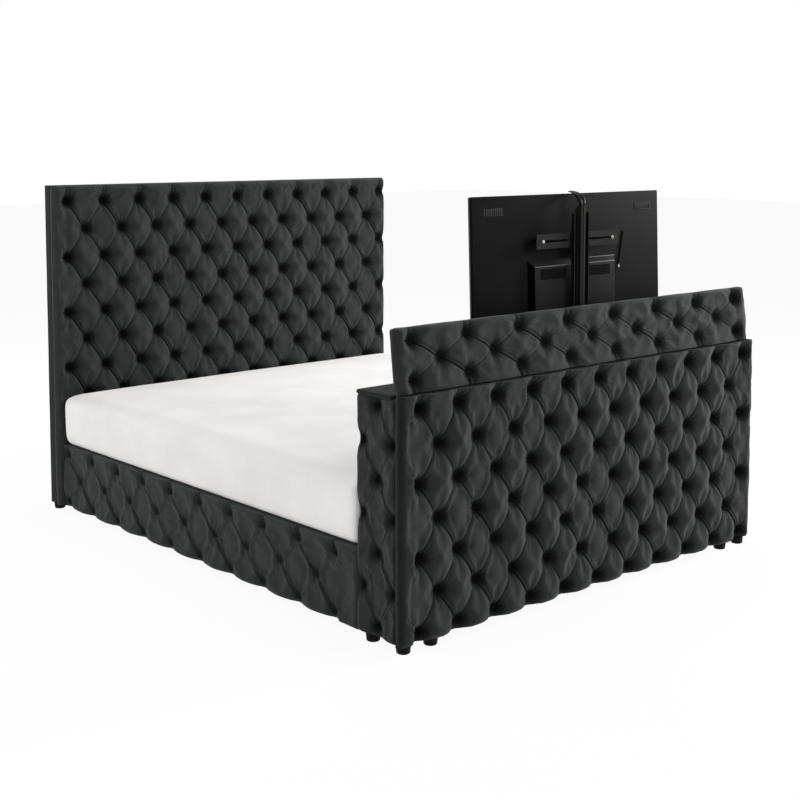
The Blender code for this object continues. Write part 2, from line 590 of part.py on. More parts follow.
def make_mast():
    """The moving mast, with its slider, the actuator rod and the nose that pushes the flap open."""
    flange = MAST_FLANGE_WIDTH / 2
    mast = block("lift_mast", dark_steel, (-flange, flange),
                 (MAST_BACK_Y - MAST_FLANGE_THICKNESS, MAST_BACK_Y), (MAST_BOTTOM, MAST_TOP), edge=0,
                 parent=lift)
    rib_half = MAST_RIB_WIDTH / 2
    rib = block("lift_mast_rib", None, (-rib_half, rib_half),
                (MAST_FRONT_Y, MAST_BACK_Y - MAST_FLANGE_THICKNESS / 2), (MAST_BOTTOM, MAST_TOP),
                edge=0, parent=lift, collection=cutters)
    hollow = block("lift_mast_hollow", None, (MAST_WALL - rib_half, rib_half - MAST_WALL),
                   (MAST_FRONT_Y + MAST_WALL, MAST_BACK_Y - MAST_FLANGE_THICKNESS),
                   (MAST_BOTTOM - CUT_OVERRUN, MAST_TOP - MAST_LID_PLATE), edge=0, parent=lift,
                   collection=cutters)
    shape_by(mast, "UNION", rib)
    shape_by(mast, "DIFFERENCE", hollow)

    slider_half = flange + COLUMN_HALF_ROOM - SLIDER_ROOM
    slider = block("mast_slider", nylon, (-slider_half, slider_half),
                   (MAST_FRONT_Y - COLUMN_FRONT_ROOM + SLIDER_ROOM, MAST_BACK_Y),
                   (SLIDER_BOTTOM, SLIDER_BOTTOM + SLIDER_HEIGHT), edge=0, parent=lift)
    hole = round_bar("mast_slider_hole", None, (0, TUBE_Y, SLIDER_BOTTOM - CUT_OVERRUN),
                     TUBE_RADIUS + TUBE_HOLE_ROOM, SLIDER_HEIGHT + 2 * CUT_OVERRUN,
                     sides=SMALL_ROUND_SIDES, parent=lift, collection=cutters)
    shape_by(slider, "DIFFERENCE", hole)

    rod_bottom = TUBE_TOP - ROD_ENGAGEMENT
    round_bar("actuator_rod", steel, (0, TUBE_Y, rod_bottom), ROD_RADIUS,
              MAST_TOP - MAST_LID_PLATE - GAP - rod_bottom, sides=SMALL_ROUND_SIDES, parent=lift)
    make_guide()


def make_guide():
    """The curved nose on top of the mast: a straight foot, then a quarter of an ellipse that reaches
    over the television."""
    foot_of_nose = MAST_TOP + GAP
    rise = GUIDE_TOP - foot_of_nose - GUIDE_FOOT
    steps = GUIDE_STEPS + 1
    work = bmesh.new()
    bmesh.ops.create_grid(work, x_segments=1, y_segments=steps, size=1)
    for vert in work.verts:
        step = (vert.co.y + 1) / 2 * steps
        angle = max(step - 1, 0) / GUIDE_STEPS * math.pi / 2
        vert.co = (vert.co.x * MAST_RIB_WIDTH / 2, -GUIDE_REACH * math.cos(angle),
                   GUIDE_FOOT * min(step, 1) + rise * math.sin(angle))
    nose = add_object("lid_guide", mesh_from("lid_guide", work), black_gloss, parent=lift)
    nose.location = (0, MAST_FRONT_Y + GUIDE_REACH, foot_of_nose)
    shell = nose.modifiers.new("Sheet thickness", "SOLIDIFY")
    shell.thickness = GUIDE_THICKNESS
    shell.offset = -1


def crossbar(name, bottom, bosses=0.0):
    """A slotted plate behind the mast; bosses gives the length of its two standoffs."""
    bar = block(name, dark_steel, (-CROSSBAR_WIDTH / 2, CROSSBAR_WIDTH / 2),
                (CROSSBAR_FRONT_Y, CROSSBAR_BACK_Y), (bottom, bottom + CROSSBAR_HEIGHT), edge=0,
                parent=lift)
    middle = bottom + CROSSBAR_HEIGHT / 2
    for sign in (-1, 1):
        screw_x = sign * TV_SCREW_SPACING / 2
        if bosses:
            boss = round_bar(name + "_boss", None, (screw_x, CROSSBAR_BACK_Y - CROSSBAR_THICKNESS / 2,
                                                    middle), BOSS_RADIUS, bosses + CROSSBAR_THICKNESS / 2,
                             axis="Y", sides=SMALL_ROUND_SIDES, parent=lift, collection=cutters)
            shape_by(bar, "UNION", boss)
        start = sign * (TV_SCREW_SPACING / 2 - BOSS_RADIUS)
        slot = block(name + "_slot", None, sorted((start, start - sign * CROSSBAR_SLOT_LENGTH)),
                     (CROSSBAR_FRONT_Y - CUT_OVERRUN, CROSSBAR_BACK_Y + CROSSBAR_THICKNESS),
                     (middle - CROSSBAR_SLOT_HEIGHT / 2, middle + CROSSBAR_SLOT_HEIGHT / 2), edge=0,
                     parent=lift, collection=cutters)
        shape_by(bar, "DIFFERENCE", slot)


def make_television():
    """The television, built upright about a point on the lower crossbar and then tilted."""
    tilt = bpy.data.objects.new("tv_tilt", None)
    parts.objects.link(tilt)
    tilt.parent = lift
    tilt.location = (0, CROSSBAR_BACK_Y + GAP, LOWER_CROSSBAR_HEIGHT)
    tilt.rotation_euler.x = -math.radians(TV_TILT)

    half = TV_WIDTH / 2
    bottom = TV_BOTTOM - LOWER_CROSSBAR_HEIGHT
    top = bottom + TV_HEIGHT
    rear = ELECTRONICS_DEPTH + GAP
    front = rear + TV_REAR_THICKNESS + GAP
    block("tv_rear_cover", tv_plastic, (-half, half), (rear, rear + TV_REAR_THICKNESS), (bottom, top),
          edge=STEEL_EDGE, parent=tilt)
    inset = TV_SCREEN_INSET
    block("tv_screen", screen_glass, (inset - half, half - inset), (front, front + TV_SCREEN_THICKNESS),
          (bottom + inset, top - inset), edge=STEEL_EDGE, parent=tilt)
    low = bottom + ELECTRONICS_RISE
    block("tv_electronics_cover", tv_plastic, (-ELECTRONICS_WIDTH / 2, ELECTRONICS_WIDTH / 2),
          (0, ELECTRONICS_DEPTH), (low, low + ELECTRONICS_HEIGHT), edge=0, parent=tilt)

    boss_edge = UPPER_CROSSBAR_HEIGHT + CROSSBAR_HEIGHT / 2 - BOSS_RADIUS - LOWER_CROSSBAR_HEIGHT
    slope = math.radians(TV_TILT)
    rear_at_boss = GAP + (rear + boss_edge * math.sin(slope)) / math.cos(slope)
    crossbar("crossbar_upper", UPPER_CROSSBAR_HEIGHT, rear_at_boss - GAP)
    crossbar("crossbar_lower", LOWER_CROSSBAR_HEIGHT)


def hinge_leaf(name, own, upward, parent):
    """Half of the piano hinge about the pin at the parent's origin: a plate with every other
    knuckle. own picks its knuckles, and upward is 1 for the flap's leaf and -1 for the fixed one."""
    half = BAY_HALF_WIDTH - HINGE_SIDE_ROOM
    step = 2 * half / KNUCKLE_COUNT
    near, far = -KNUCKLE_RADIUS, LEAF_THICKNESS - KNUCKLE_RADIUS
    clear = upward * (KNUCKLE_RADIUS + KNUCKLE_ROOM)
    plate = block(name, steel, (-half, half), (near, far), sorted((clear, upward * LEAF_HEIGHT)),
                  edge=0, parent=parent)
    knuckles = bmesh.new()
    tabs = bmesh.new()
    for k in range(KNUCKLE_COUNT):
        if k % 2 != own:
            continue
        start = step * k - half + KNUCKLE_ROOM
        length = step - 2 * KNUCKLE_ROOM
        add_round(knuckles, (start, 0, 0), KNUCKLE_RADIUS, length, "X", SMALL_ROUND_SIDES)
        reach = sorted((0, clear + upward * LEAF_TAB_LAP))
        add_block(tabs, (start, near, reach[0]), (start + length, far, reach[1]))
    for kind, work in (("_tabs", tabs), ("_knuckles", knuckles)):
        tool = add_object(name + kind, mesh_from(name + kind, work), None, parent, cutters)
        shape_by(plate, "UNION", tool)
    bore = round_bar(name + "_bore", None, (-half - CUT_OVERRUN, 0, 0), PIN_RADIUS + PIN_ROOM,
                     2 * (half + CUT_OVERRUN), axis="X", sides=SMALL_ROUND_SIDES, parent=parent,
                     collection=cutters)
    shape_by(plate, "DIFFERENCE", bore)


def make_lid():
    """The padded flap, built upright about the hinge pin; it leans back on the mast at rest."""
    pin = bpy.data.objects.new("hinge_pin_line", None)
    parts.objects.link(pin)
    pin.location = (0, PIN_Y, PIN_Z)
    flap = bpy.data.objects.new("lid_pivot", None)
    parts.objects.link(flap)
    flap.location = pin.location
    flap.rotation_euler.x = -LID_LEAN

    half = LID_WIDTH / 2
    back = -PIN_TO_LID
    board_front = back - LID_BOARD_THICKNESS
    block("lid_board", plywood, (-half, half), (board_front, back), (LID_SEAM, LID_SEAM + LID_HEIGHT),
          edge=0, parent=flap)
    tufted_pad("lid_pad", velvet, LID_WIDTH, LID_HEIGHT, LID_PAD_THICKNESS, LID_TUFT_DEPTH, LID_COLUMNS,
               LID_ROWS, LID_SIDE_MARGIN, LID_SIDE_MARGIN, LID_END_MARGIN, LID_END_MARGIN,
               (-half, board_front - GAP, LID_SEAM), parent=flap)
    hinge_leaf("lid_hinge_fixed_leaf", 0, -1, pin)
    hinge_leaf("lid_hinge_flap_leaf", 1, 1, flap)
    hinge_half = BAY_HALF_WIDTH - HINGE_SIDE_ROOM
    round_bar("lid_hinge_pin", steel, (-hinge_half, 0, 0), PIN_RADIUS, 2 * hinge_half, axis="X",
              sides=SMALL_ROUND_SIDES, parent=pin)


for old in list(bpy.data.objects):
    bpy.data.objects.remove(old, do_unlink=True)

parts = new_collection("tv_bed")
cutters = new_collection("cutters")
SIDES = (("left", -1), ("right", 1))

velvet = material("charcoal_velvet", (0.030, 0.034, 0.034), 0.85)
ticking = material("mattress_ticking", (0.80, 0.79, 0.78), 0.90)
plywood = material("plywood", (0.45, 0.32, 0.19), 0.65)
timber = material("pine_timber", (0.55, 0.40, 0.24), 0.60)
beech = material("beech_slats", (0.62, 0.45, 0.28), 0.50)
steel = material("zinc_steel", (0.60, 0.60, 0.62), 0.35, 1.0)
dark_steel = material("black_steel", (0.022, 0.022, 0.023), 0.45, 0.6)
black_plastic = material("black_plastic", (0.015, 0.015, 0.015), 0.50)
black_gloss = material("black_gloss", (0.010, 0.010, 0.010), 0.20)
nylon = material("white_nylon", (0.70, 0.70, 0.68), 0.45)
tv_plastic = material("television_plastic", (0.012, 0.013, 0.013), 0.42)
screen_glass = material("screen_glass", (0.004, 0.004, 0.005), 0.08)

lift = bpy.data.objects.new("lift_carriage", None)
parts.objects.link(lift)

make_headboard()
make_base()
make_cabinet()
make_lift_base()
make_mast()
make_television()
make_lid()
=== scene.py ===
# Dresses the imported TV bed: tufted velvet, mattress, timber, steel, the television and its lift.
# Metres, +Z up, +Y from the footboard cabinet to the headboard, everything at rest.
import json
import math

import bmesh
import bpy
import numpy as np
from mathutils import Matrix, Vector, noise


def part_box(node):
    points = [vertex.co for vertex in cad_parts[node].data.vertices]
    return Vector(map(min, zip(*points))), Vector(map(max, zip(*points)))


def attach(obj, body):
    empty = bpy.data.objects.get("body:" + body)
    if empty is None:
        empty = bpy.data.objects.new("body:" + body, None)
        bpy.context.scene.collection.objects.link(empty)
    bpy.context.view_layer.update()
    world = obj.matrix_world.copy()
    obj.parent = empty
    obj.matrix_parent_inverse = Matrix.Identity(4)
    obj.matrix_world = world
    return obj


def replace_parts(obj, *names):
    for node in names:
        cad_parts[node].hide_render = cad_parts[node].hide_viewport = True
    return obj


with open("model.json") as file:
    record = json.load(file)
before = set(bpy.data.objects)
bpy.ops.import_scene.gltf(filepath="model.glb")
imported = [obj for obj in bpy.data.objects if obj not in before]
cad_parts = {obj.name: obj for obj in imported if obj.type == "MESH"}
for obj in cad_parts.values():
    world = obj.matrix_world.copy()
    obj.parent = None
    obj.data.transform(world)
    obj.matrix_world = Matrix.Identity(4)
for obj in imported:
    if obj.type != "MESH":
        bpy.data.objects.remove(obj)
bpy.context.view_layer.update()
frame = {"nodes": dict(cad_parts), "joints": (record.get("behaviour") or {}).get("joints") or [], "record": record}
nodes = frame["nodes"]
slotOf = {row["node"]: row["material_slot"] for row in frame["record"]["subparts"]}
sides = (("left", -1), ("right", 1))


# Finishes

class Wire:
    # a node's output; sums with it add the Math nodes
    def __init__(self, finish, outlet):
        self.finish, self.outlet = finish, outlet

    def sum(self, operation, first, second):
        return self.finish.add("Math", {"operation": operation}, {0: first, 1: second})

    def __add__(self, other):
        return self.sum("ADD", self, other)

    def __radd__(self, other):
        return self.sum("ADD", other, self)

    def __mul__(self, other):
        return self.sum("MULTIPLY", self, other)

    def __rmul__(self, other):
        return self.sum("MULTIPLY", other, self)


class Finish:
    # one material, or the world: a node is given by its type, its settings, and the values or links
    # of its sockets
    def __init__(self, name, block=None):
        self.block = block or bpy.data.materials.new(name)
        self.block.use_nodes = True
        self.tree = self.block.node_tree
        self.tree.nodes.clear()
        self.place = self.add("TexCoord", take="Object")

    def add(self, kind, settings=None, values=None, take=0):
        node = self.tree.nodes.new("ShaderNode" + kind)
        for name, value in (settings or {}).items():
            if name == "stops":
                stops = node.color_ramp.elements
                while len(stops) < len(value):
                    stops.new(0.5)
                for stop, (position, grey) in zip(stops, value):
                    stop.position, stop.color = position, (grey, grey, grey, 1)
            else:
                setattr(node, name, value)
        for name, value in (values or {}).items():
            if isinstance(value, Wire):
                self.tree.links.new(value.outlet, node.inputs[name])
            else:
                node.inputs[name].default_value = value
        return Wire(self, node.outputs[take]) if len(node.outputs) else node

    def stretched(self, scale):
        return self.add("Mapping", values={"Vector": self.place, "Scale": scale})

    def noise(self, scale, detail=3.0, roughness=0.5, distortion=0.0, along=None):
        return self.add("TexNoise", values={
            "Vector": along or self.place, "Scale": scale, "Detail": detail, "Roughness": roughness,
            "Distortion": distortion}, take="Fac")

    def ramp(self, value, *stops):
        return self.add("ValToRGB", {"stops": stops}, {"Fac": value}, take="Color")

    def blend(self, factor, first, second):
        first, second = ((*tone, 1) if isinstance(tone, tuple) else tone for tone in (first, second))
        return self.add("Mix", {"data_type": "RGBA"}, {0: factor, 6: first, 7: second}, take=2)

    def bump(self, height, distance, strength=1.0, under=None):
        values = {"Height": height, "Distance": distance, "Strength": strength}
        return self.add("Bump", values={**values, "Normal": under} if under else values, take="Normal")

    def surface(self, colour, roughness, normal=None, fixed=None):
        values = {"Base Color": colour if isinstance(colour, Wire) else (*colour, 1),
                  "Roughness": roughness, **(fixed or {})}
        if normal:
            values["Normal"] = normal
        shader = self.add("BsdfPrincipled", values=values, take="BSDF")
        self.add("OutputMaterial", values={"Surface": shader})
        return self.block


# in velvetLook, "pit" is the near-black colour of the painted shade
velvetLook = {"deep": (0.0136, 0.0151, 0.0146), "brushed": (0.0292, 0.0323, 0.0312),
              "pit": (0.0016, 0.0017, 0.0016), "sheen": 0.60, "sheenRoughness": 0.55,
              "sheenTint": (0.150, 0.163, 0.160, 1), "specular": 0.12, "napScale": 9, "streakScale": 38,
              "pileScale": 420, "pileDepth": 0.0011, "fanScale": 5.5, "fanSpread": 2.5, "fanDepth": 0.0032}
tickingLook = {"colour": (0.82, 0.808, 0.792), "shade": (0.745, 0.730, 0.712)}


def makeVelvet(name, look):
    # nap brushed this way and that, with a fine pile over it
    cloth = Finish(name)
    nap = cloth.noise(look["napScale"], detail=5, roughness=0.6, distortion=0.9)
    streaks = cloth.noise(look["streakScale"], detail=4, roughness=0.65, distortion=0.5)
    pile = cloth.noise(look["pileScale"], detail=2, roughness=0.7)
    brushed = nap * 0.45 + streaks * 0.30 + pile * 0.25
    tone = cloth.ramp(brushed, (0.34, 0.0), (0.66, 1.0))
    colour = cloth.blend(tone, look["deep"], look["brushed"])
    # fine wrinkles fan out from each button: "wrinkled" holds the way from the button and the strength
    fanned = cloth.add("Attribute", {"attribute_name": "wrinkled"}, take="Vector")
    strength = cloth.add("SeparateXYZ", values={"Vector": fanned}, take="Z")
    way = cloth.add("VectorMath", {"operation": "MULTIPLY"}, {0: fanned, 1: (1, 1, 0)}, "Vector")
    way = cloth.add("VectorMath", {"operation": "NORMALIZE"}, {0: way}, "Vector")
    way = cloth.add("VectorMath", {"operation": "MULTIPLY_ADD"}, {
        0: cloth.place, 1: (look["fanSpread"],) * 3, 2: way}, "Vector")
    fan = cloth.noise(look["fanScale"], detail=3, roughness=0.55, along=way)
    wrinkles = cloth.ramp(fan, (0.40, 0.0), (0.56, 1.0)) * strength
    folded = cloth.bump(wrinkles, look["fanDepth"], 0.9)
    normal = cloth.bump(pile * 0.7 + streaks * 0.6, look["pileDepth"], 0.55, folded)
    shader = cloth.add("BsdfPrincipled", values={
        "Base Color": colour, "Roughness": 0.80 + 0.15 * nap, "Normal": normal,
        "Sheen Weight": look["sheen"], "Sheen Roughness": look["sheenRoughness"],
        "Sheen Tint": look["sheenTint"], "Specular IOR Level": look["specular"]}, take="BSDF")
    # painted shade: the attribute mixes the velvet towards a near-black matte shader in the pits and folds, on
    # tucked ends, on some wrapped boards and on the buttons
    crushed = cloth.add("BsdfPrincipled", values={
        "Base Color": (*look["pit"], 1), "Roughness": 1.0, "Specular IOR Level": 0.0}, take="BSDF")
    depth = cloth.add("Attribute", {"attribute_name": "crushed"}, take="Fac")
    mixed = cloth.add("MixShader", values={0: depth, 1: shader, 2: crushed})
    cloth.add("OutputMaterial", values={"Surface": mixed})
    return cloth.block


def makeTicking(name, look):
    # plain knitted cover: faint loops and soft shading
    cloth = Finish(name)
    soft = cloth.noise(3.5, detail=4, roughness=0.55)
    loops = cloth.add("TexVoronoi", {"feature": "SMOOTH_F1"}, {
        "Vector": cloth.place, "Scale": 520, "Smoothness": 0.6}, take="Distance")
    colour = cloth.blend(cloth.ramp(soft, (0.35, 0.0), (0.7, 1.0)), look["shade"], look["colour"])
    normal = cloth.bump(loops * 0.5 + cloth.noise(60, detail=3) * 0.8, 0.0006, 0.4)
    return cloth.surface(colour, 0.9, normal, {"Sheen Weight": 0.15, "Sheen Roughness": 0.5,
                                              "Specular IOR Level": 0.2})


def makeWood(name, light, dark, stretch, ply=0.0):
    # grain runs along the axis with the small stretch; ply adds glued layers
    wood = Finish(name)
    along = wood.stretched(stretch)
    rings = wood.add("TexWave", {"wave_type": "BANDS", "bands_direction": "DIAGONAL"}, {
        "Vector": along, "Scale": 3.0, "Distortion": 7.0, "Detail": 3.0, "Detail Scale": 1.3}, take="Fac")
    fibres = wood.noise(26, detail=5, roughness=0.7, along=along)
    pores = wood.noise(90, detail=2, along=along)
    shade = rings * 0.45 + fibres * 0.55
    colour = wood.blend(wood.ramp(shade, (0.25, 0.0), (0.8, 1.0)), dark, light)
    if ply:
        layers = wood.add("TexWave", {"wave_type": "BANDS", "bands_direction": "Y"}, {
            "Vector": wood.place, "Scale": ply, "Distortion": 0.2}, take="Fac")
        colour = wood.blend(wood.ramp(layers, (0.45, 0.0), (0.6, 0.35)), colour, dark)
    normal = wood.bump(fibres * 0.6 + pores * 0.6, 0.0006, 0.5)
    return wood.surface(colour, 0.50 + 0.20 * fibres, normal, {"Specular IOR Level": 0.35})


def makeMetal(name, colour, worn, roughness, metallic, grain):
    metal = Finish(name)
    cloud = metal.noise(18, detail=5, roughness=0.65)
    brushed = metal.noise(grain, detail=3, along=metal.stretched((1, 1, 0.05)))
    tone = metal.blend(metal.ramp(cloud, (0.4, 0.0), (0.75, 1.0)), colour, worn)
    return metal.surface(tone, roughness + 0.14 * cloud, metal.bump(brushed, 0.0003, 0.35),
                         {"Metallic": metallic})


def makePlastic(name, colour, scuffed, roughness, grain, depth, coat=0.0, specular=0.4):
    plastic = Finish(name)
    grains = plastic.add("TexVoronoi", values={"Vector": plastic.place, "Scale": grain},
                         take="Distance")
    dust = plastic.noise(7, detail=6, roughness=0.7)
    tone = plastic.blend(plastic.ramp(dust, (0.5, 0.0), (0.85, 1.0)), colour, scuffed)
    return plastic.surface(tone, roughness + 0.12 * dust, plastic.bump(grains, depth, 0.5),
                           {"Coat Weight": coat, "Coat Roughness": 0.15, "Specular IOR Level": specular})


velvet = makeVelvet("charcoalVelvet", velvetLook)
ticking = makeTicking("mattressCover", tickingLook)
webbing = makeTicking("slatWebbing", {"colour": (0.62, 0.60, 0.55), "shade": (0.50, 0.48, 0.44)})
finishOf = {
    "velvet": velvet,
    "ticking": ticking,
    "plywood": makeWood("plywood", (0.52, 0.38, 0.23), (0.36, 0.24, 0.13), (0.25, 2.0, 2.0), ply=90),
    "timber": makeWood("pineTimber", (0.64, 0.47, 0.28), (0.44, 0.29, 0.15), (3.0, 0.2, 3.0)),
    "beech": makeWood("beechSlats", (0.68, 0.50, 0.32), (0.52, 0.36, 0.21), (0.25, 4.0, 4.0)),
    "zinc_steel": makeMetal("zincSteel", (0.60, 0.60, 0.62), (0.44, 0.45, 0.47), 0.28, 1.0, 240),
    "black_steel": makePlastic("blackPowderCoat", (0.0078, 0.0082, 0.0074), (0.0135, 0.0138, 0.0125),
                               0.42, 1300, 0.0003, specular=0.07),
    "black_plastic": makePlastic("blackPlastic", (0.0060, 0.0060, 0.0058), (0.014, 0.0135, 0.012), 0.45,
                                 900, 0.0003, specular=0.06),
    "black_gloss": makePlastic("blackGloss", (0.005, 0.005, 0.005), (0.009, 0.009, 0.009), 0.26, 60,
                               0.0001, specular=0.035),
    "nylon": makePlastic("whiteNylon", (0.72, 0.72, 0.70), (0.6, 0.6, 0.56), 0.40, 300, 0.0002),
    "tv_plastic": makePlastic("televisionPlastic", (0.0048, 0.0053, 0.0046), (0.0082, 0.0086, 0.0072),
                              0.50, 1500, 0.0003, specular=0.025),
    "screen": makePlastic("screenGlass", (0.004, 0.004, 0.005), (0.006, 0.006, 0.007), 0.06, 20, 0.00001,
                          coat=1.0),
}
ventFinish = makePlastic("ventPlastic", (0.020, 0.021, 0.020), (0.03, 0.031, 0.03), 0.50, 1500, 0.0003,
                         specular=0.06)
housingFinish = makePlastic("housingPlastic", (0.0075, 0.0080, 0.0072), (0.0115, 0.0120, 0.0106), 0.42,
                            1500, 0.0003, specular=0.045)
# near-black plastic for painted shade on the housing's left walls, in the crossbar slots, in the grille holes and
# in the mast's pressed holes; the mast's belts are made in it too
darkFinish = makePlastic("shadowPlastic", (0.0012, 0.0013, 0.0012), (0.0022, 0.0023, 0.0021), 0.70,
                         900, 0.0002, specular=0.01)
# pale grey for the painted highlight along the housing's upper edges
paintedHighlightFinish = makePlastic("paintedHighlight", (0.20, 0.205, 0.20), (0.26, 0.265, 0.26), 0.40, 900, 0.0002,
                         specular=0.10)
brass = makeMetal("brassScrews", (0.62, 0.43, 0.18), (0.45, 0.30, 0.12), 0.30, 1.0, 300)

for name, node in nodes.items():
    for slot in node.material_slots:
        slot.material = finishOf[slotOf[name]]
print("finishes made")


# Shared mesh making

def addPiece(name, mesh, body, slot, smooth, finish=None):
    piece = bpy.data.objects.new(name, mesh)
    bpy.context.scene.collection.objects.link(piece)
    mesh.materials.append(finish or finishOf[slot])
    mesh.shade_smooth()
    if smooth < 180:
        mesh.set_sharp_from_angle(angle=math.radians(smooth))
    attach(piece, body)
    return piece


def meshOf(name, points, faces):
    mesh = bpy.data.meshes.new(name)
    mesh.from_pydata([tuple(map(float, point)) for point in points], [], faces)
    return mesh


def finished(name, work):
    mesh = bpy.data.meshes.new(name)
    work.to_mesh(mesh)
    work.free()
    return mesh


def softEdges(work, corners, radius):
    edges = list({edge for vert in corners for edge in vert.link_edges})
    bmesh.ops.bevel(work, geom=edges, offset=radius, segments=2, profile=0.5, affect="EDGES")


def roundedBox(work, low, high, radius):
    # a box with rounded edges between two corners, added to a mesh that is being made
    low, high = Vector(low), Vector(high)
    made = bmesh.ops.create_cube(work, size=1, matrix=Matrix.Translation((low + high) / 2)
                                 @ Matrix.Diagonal((*(high - low), 1)))["verts"]
    if radius:
        softEdges(work, made, radius)


def roundBar(work, centre, radius, length, axis, sides, endRadius=None):
    # a closed bar that starts at centre and runs along axis
    turn = Vector((0, 0, 1)).rotation_difference(Vector(axis)).to_matrix().to_4x4()
    bmesh.ops.create_cone(work, cap_ends=True, segments=sides, radius1=radius,
                          radius2=radius if endRadius is None else endRadius, depth=length,
                          matrix=Matrix.Translation(Vector(centre)) @ turn
                          @ Matrix.Translation((0, 0, length / 2)))


# Tufted covers. A cover is made lying against the plane y = 0 with its face towards -y, its lower
# left corner at the origin, and is then put in place by a matrix.

coverCuts = {"perDiamond": 16, "bunching": 0.45, "edgeLines": (0.006, 0.017), "join": 0.0003}
clothLook = {"frames": 20, "quality": 5, "mass": 0.3, "pressure": 3, "growth": 0.011, "stiffness": 10,
             "bending": 0.5, "buttonHold": 0.0080, "borderHold": 0.013, "foldHold": (0.9, 0.7),
             "foldWidth": 0.005, "start": 0.95, "most": 0.012}
foldLook = {"crease": 0.46, "creasePower": 0.50, "crownPower": 0.55, "marginReach": (0.036, 0.080),
            "liveliness": (0.94, 0.10), "pitRoom": 0.0075, "pitReach": 0.034, "pitPower": 0.62,
            "cornerReach": 0.006, "foldStrengths": (1.0, 0.25), "foldShade": 0.92,
            "groove": 0.0078, "grooveWidth": 0.0034, "pleatWidth": 0.0110, "pleatRise": 0.0030,
            "wrinkle": 0.0055, "wrinkleReach": 0.055, "cross": 0.0034, "crossWidth": 0.0034,
            "wrinkleFans": ((11, 1.0, 0.0), (17, 0.6, 2.1)), "unevenness": 0.0030,
            "unevenScale": 14, "pitShade": 0.030, "shadeRise": 1.25, "shadeWidth": 0.85, "shadeLean": 0.6,
            "fanReach": 0.048, "fanStrength": 1.3, "plainFade": 0.03, "endShadeWidth": 0.014}
# the rings of a cover's sides: how far each stands off the back and how much painted shade a tucked end gets
# there; topDark is the painted shade on the wall of a cover's top side
rimLook = {"rings": ((0.62, 0.30), (0.25, 0.45), (0.0, 0.60)), "topDark": 0.9, "endWidth": 0.006,
           "endSwell": 0.8, "levelSwell": 0.1, "swellReach": 0.04, "inset": 0.0005, "least": 0.004}
# buttonLook's last value is the painted shade given to the buttons
buttonLook = {"radius": 0.0072, "rise": 0.0030, "above": -0.0030, "crushed": 0.88}


def bunched(count, squeeze):
    share = np.linspace(0, 1, count + 1)
    return share - squeeze * np.sin(2 * np.pi * share) / (2 * np.pi)


def diamondGrid(plan):
    # a face grid whose lines run along the folds, closer together there, trimmed to the cover
    spacing, pair = plan["spacing"], 2 * plan["rowStep"]
    corners = [((x - plan["left"]) / spacing, (z - plan["bottom"]) / pair)
               for x in (0, plan["width"]) for z in (0, plan["height"])]
    share = bunched(coverCuts["perDiamond"], coverCuts["bunching"])[:-1]
    shift = plan["shift"]

    def lines(values):
        first, last = math.floor(min(values)), math.ceil(max(values))
        return np.concatenate([k + share for k in range(first, last)] + [np.array([last])])

    p = lines([a + shift + u for a, u in corners])
    q = lines([a + shift - u for a, u in corners])
    pp, qq = np.meshgrid(p, q, indexing="ij")
    x = plan["left"] + ((pp + qq) / 2 - shift) * spacing
    z = plan["bottom"] + (pp - qq) / 2 * pair
    kept = (x > 0) & (x < plan["width"]) & (z > 0) & (z < plan["height"])
    quads = kept[:-1, :-1] | kept[1:, :-1] | kept[:-1, 1:] | kept[1:, 1:]
    i, k = np.nonzero(quads)
    row = len(q)
    faces = np.stack([i * row + k, (i + 1) * row + k, (i + 1) * row + k + 1, i * row + k + 1], 1)
    used, inverse = np.unique(faces, return_inverse=True)
    points = np.stack([x.ravel()[used], np.zeros(len(used)), z.ravel()[used]], 1)
    mesh = meshOf("grid", points, inverse.reshape(faces.shape).tolist())
    work = bmesh.new()
    work.from_mesh(mesh)
    bpy.data.meshes.remove(mesh)

    def cut(point, normal, clear):
        bmesh.ops.bisect_plane(work, geom=work.verts[:] + work.edges[:] + work.faces[:],
                               dist=coverCuts["join"], plane_co=point, plane_no=normal, clear_outer=clear)

    ends = (((0, 0, 0), (-1, 0, 0)), ((plan["width"], 0, 0), (1, 0, 0)),
            ((0, 0, 0), (0, 0, -1)), ((0, 0, plan["height"]), (0, 0, 1)))
    for point, normal in ends:
        cut(point, normal, True)
    for point, normal in ends:
        for inset in coverCuts["edgeLines"]:
            cut(Vector(point) - inset * Vector(normal), normal, False)
    return finished("grid", work)


def unit(value):
    return np.clip(value, 0, 1)


def bell(value):
    return np.exp(-value ** 2)


def quarterRound(near):
    # how far a rounded edge has fallen: 0 at the start of the round, nearly 1 at its end
    return 1 - np.sqrt(1 - near ** 2 * 0.995)


def randomAt(*keys):
    # an even number from 0 to 1 that depends on the keys alone
    value = np.sin(sum(np.asarray(key, float) * factor
                       for key, factor in zip(keys, (12.9898, 78.233, 37.719)))) * 43758.5453
    return value - np.floor(value)


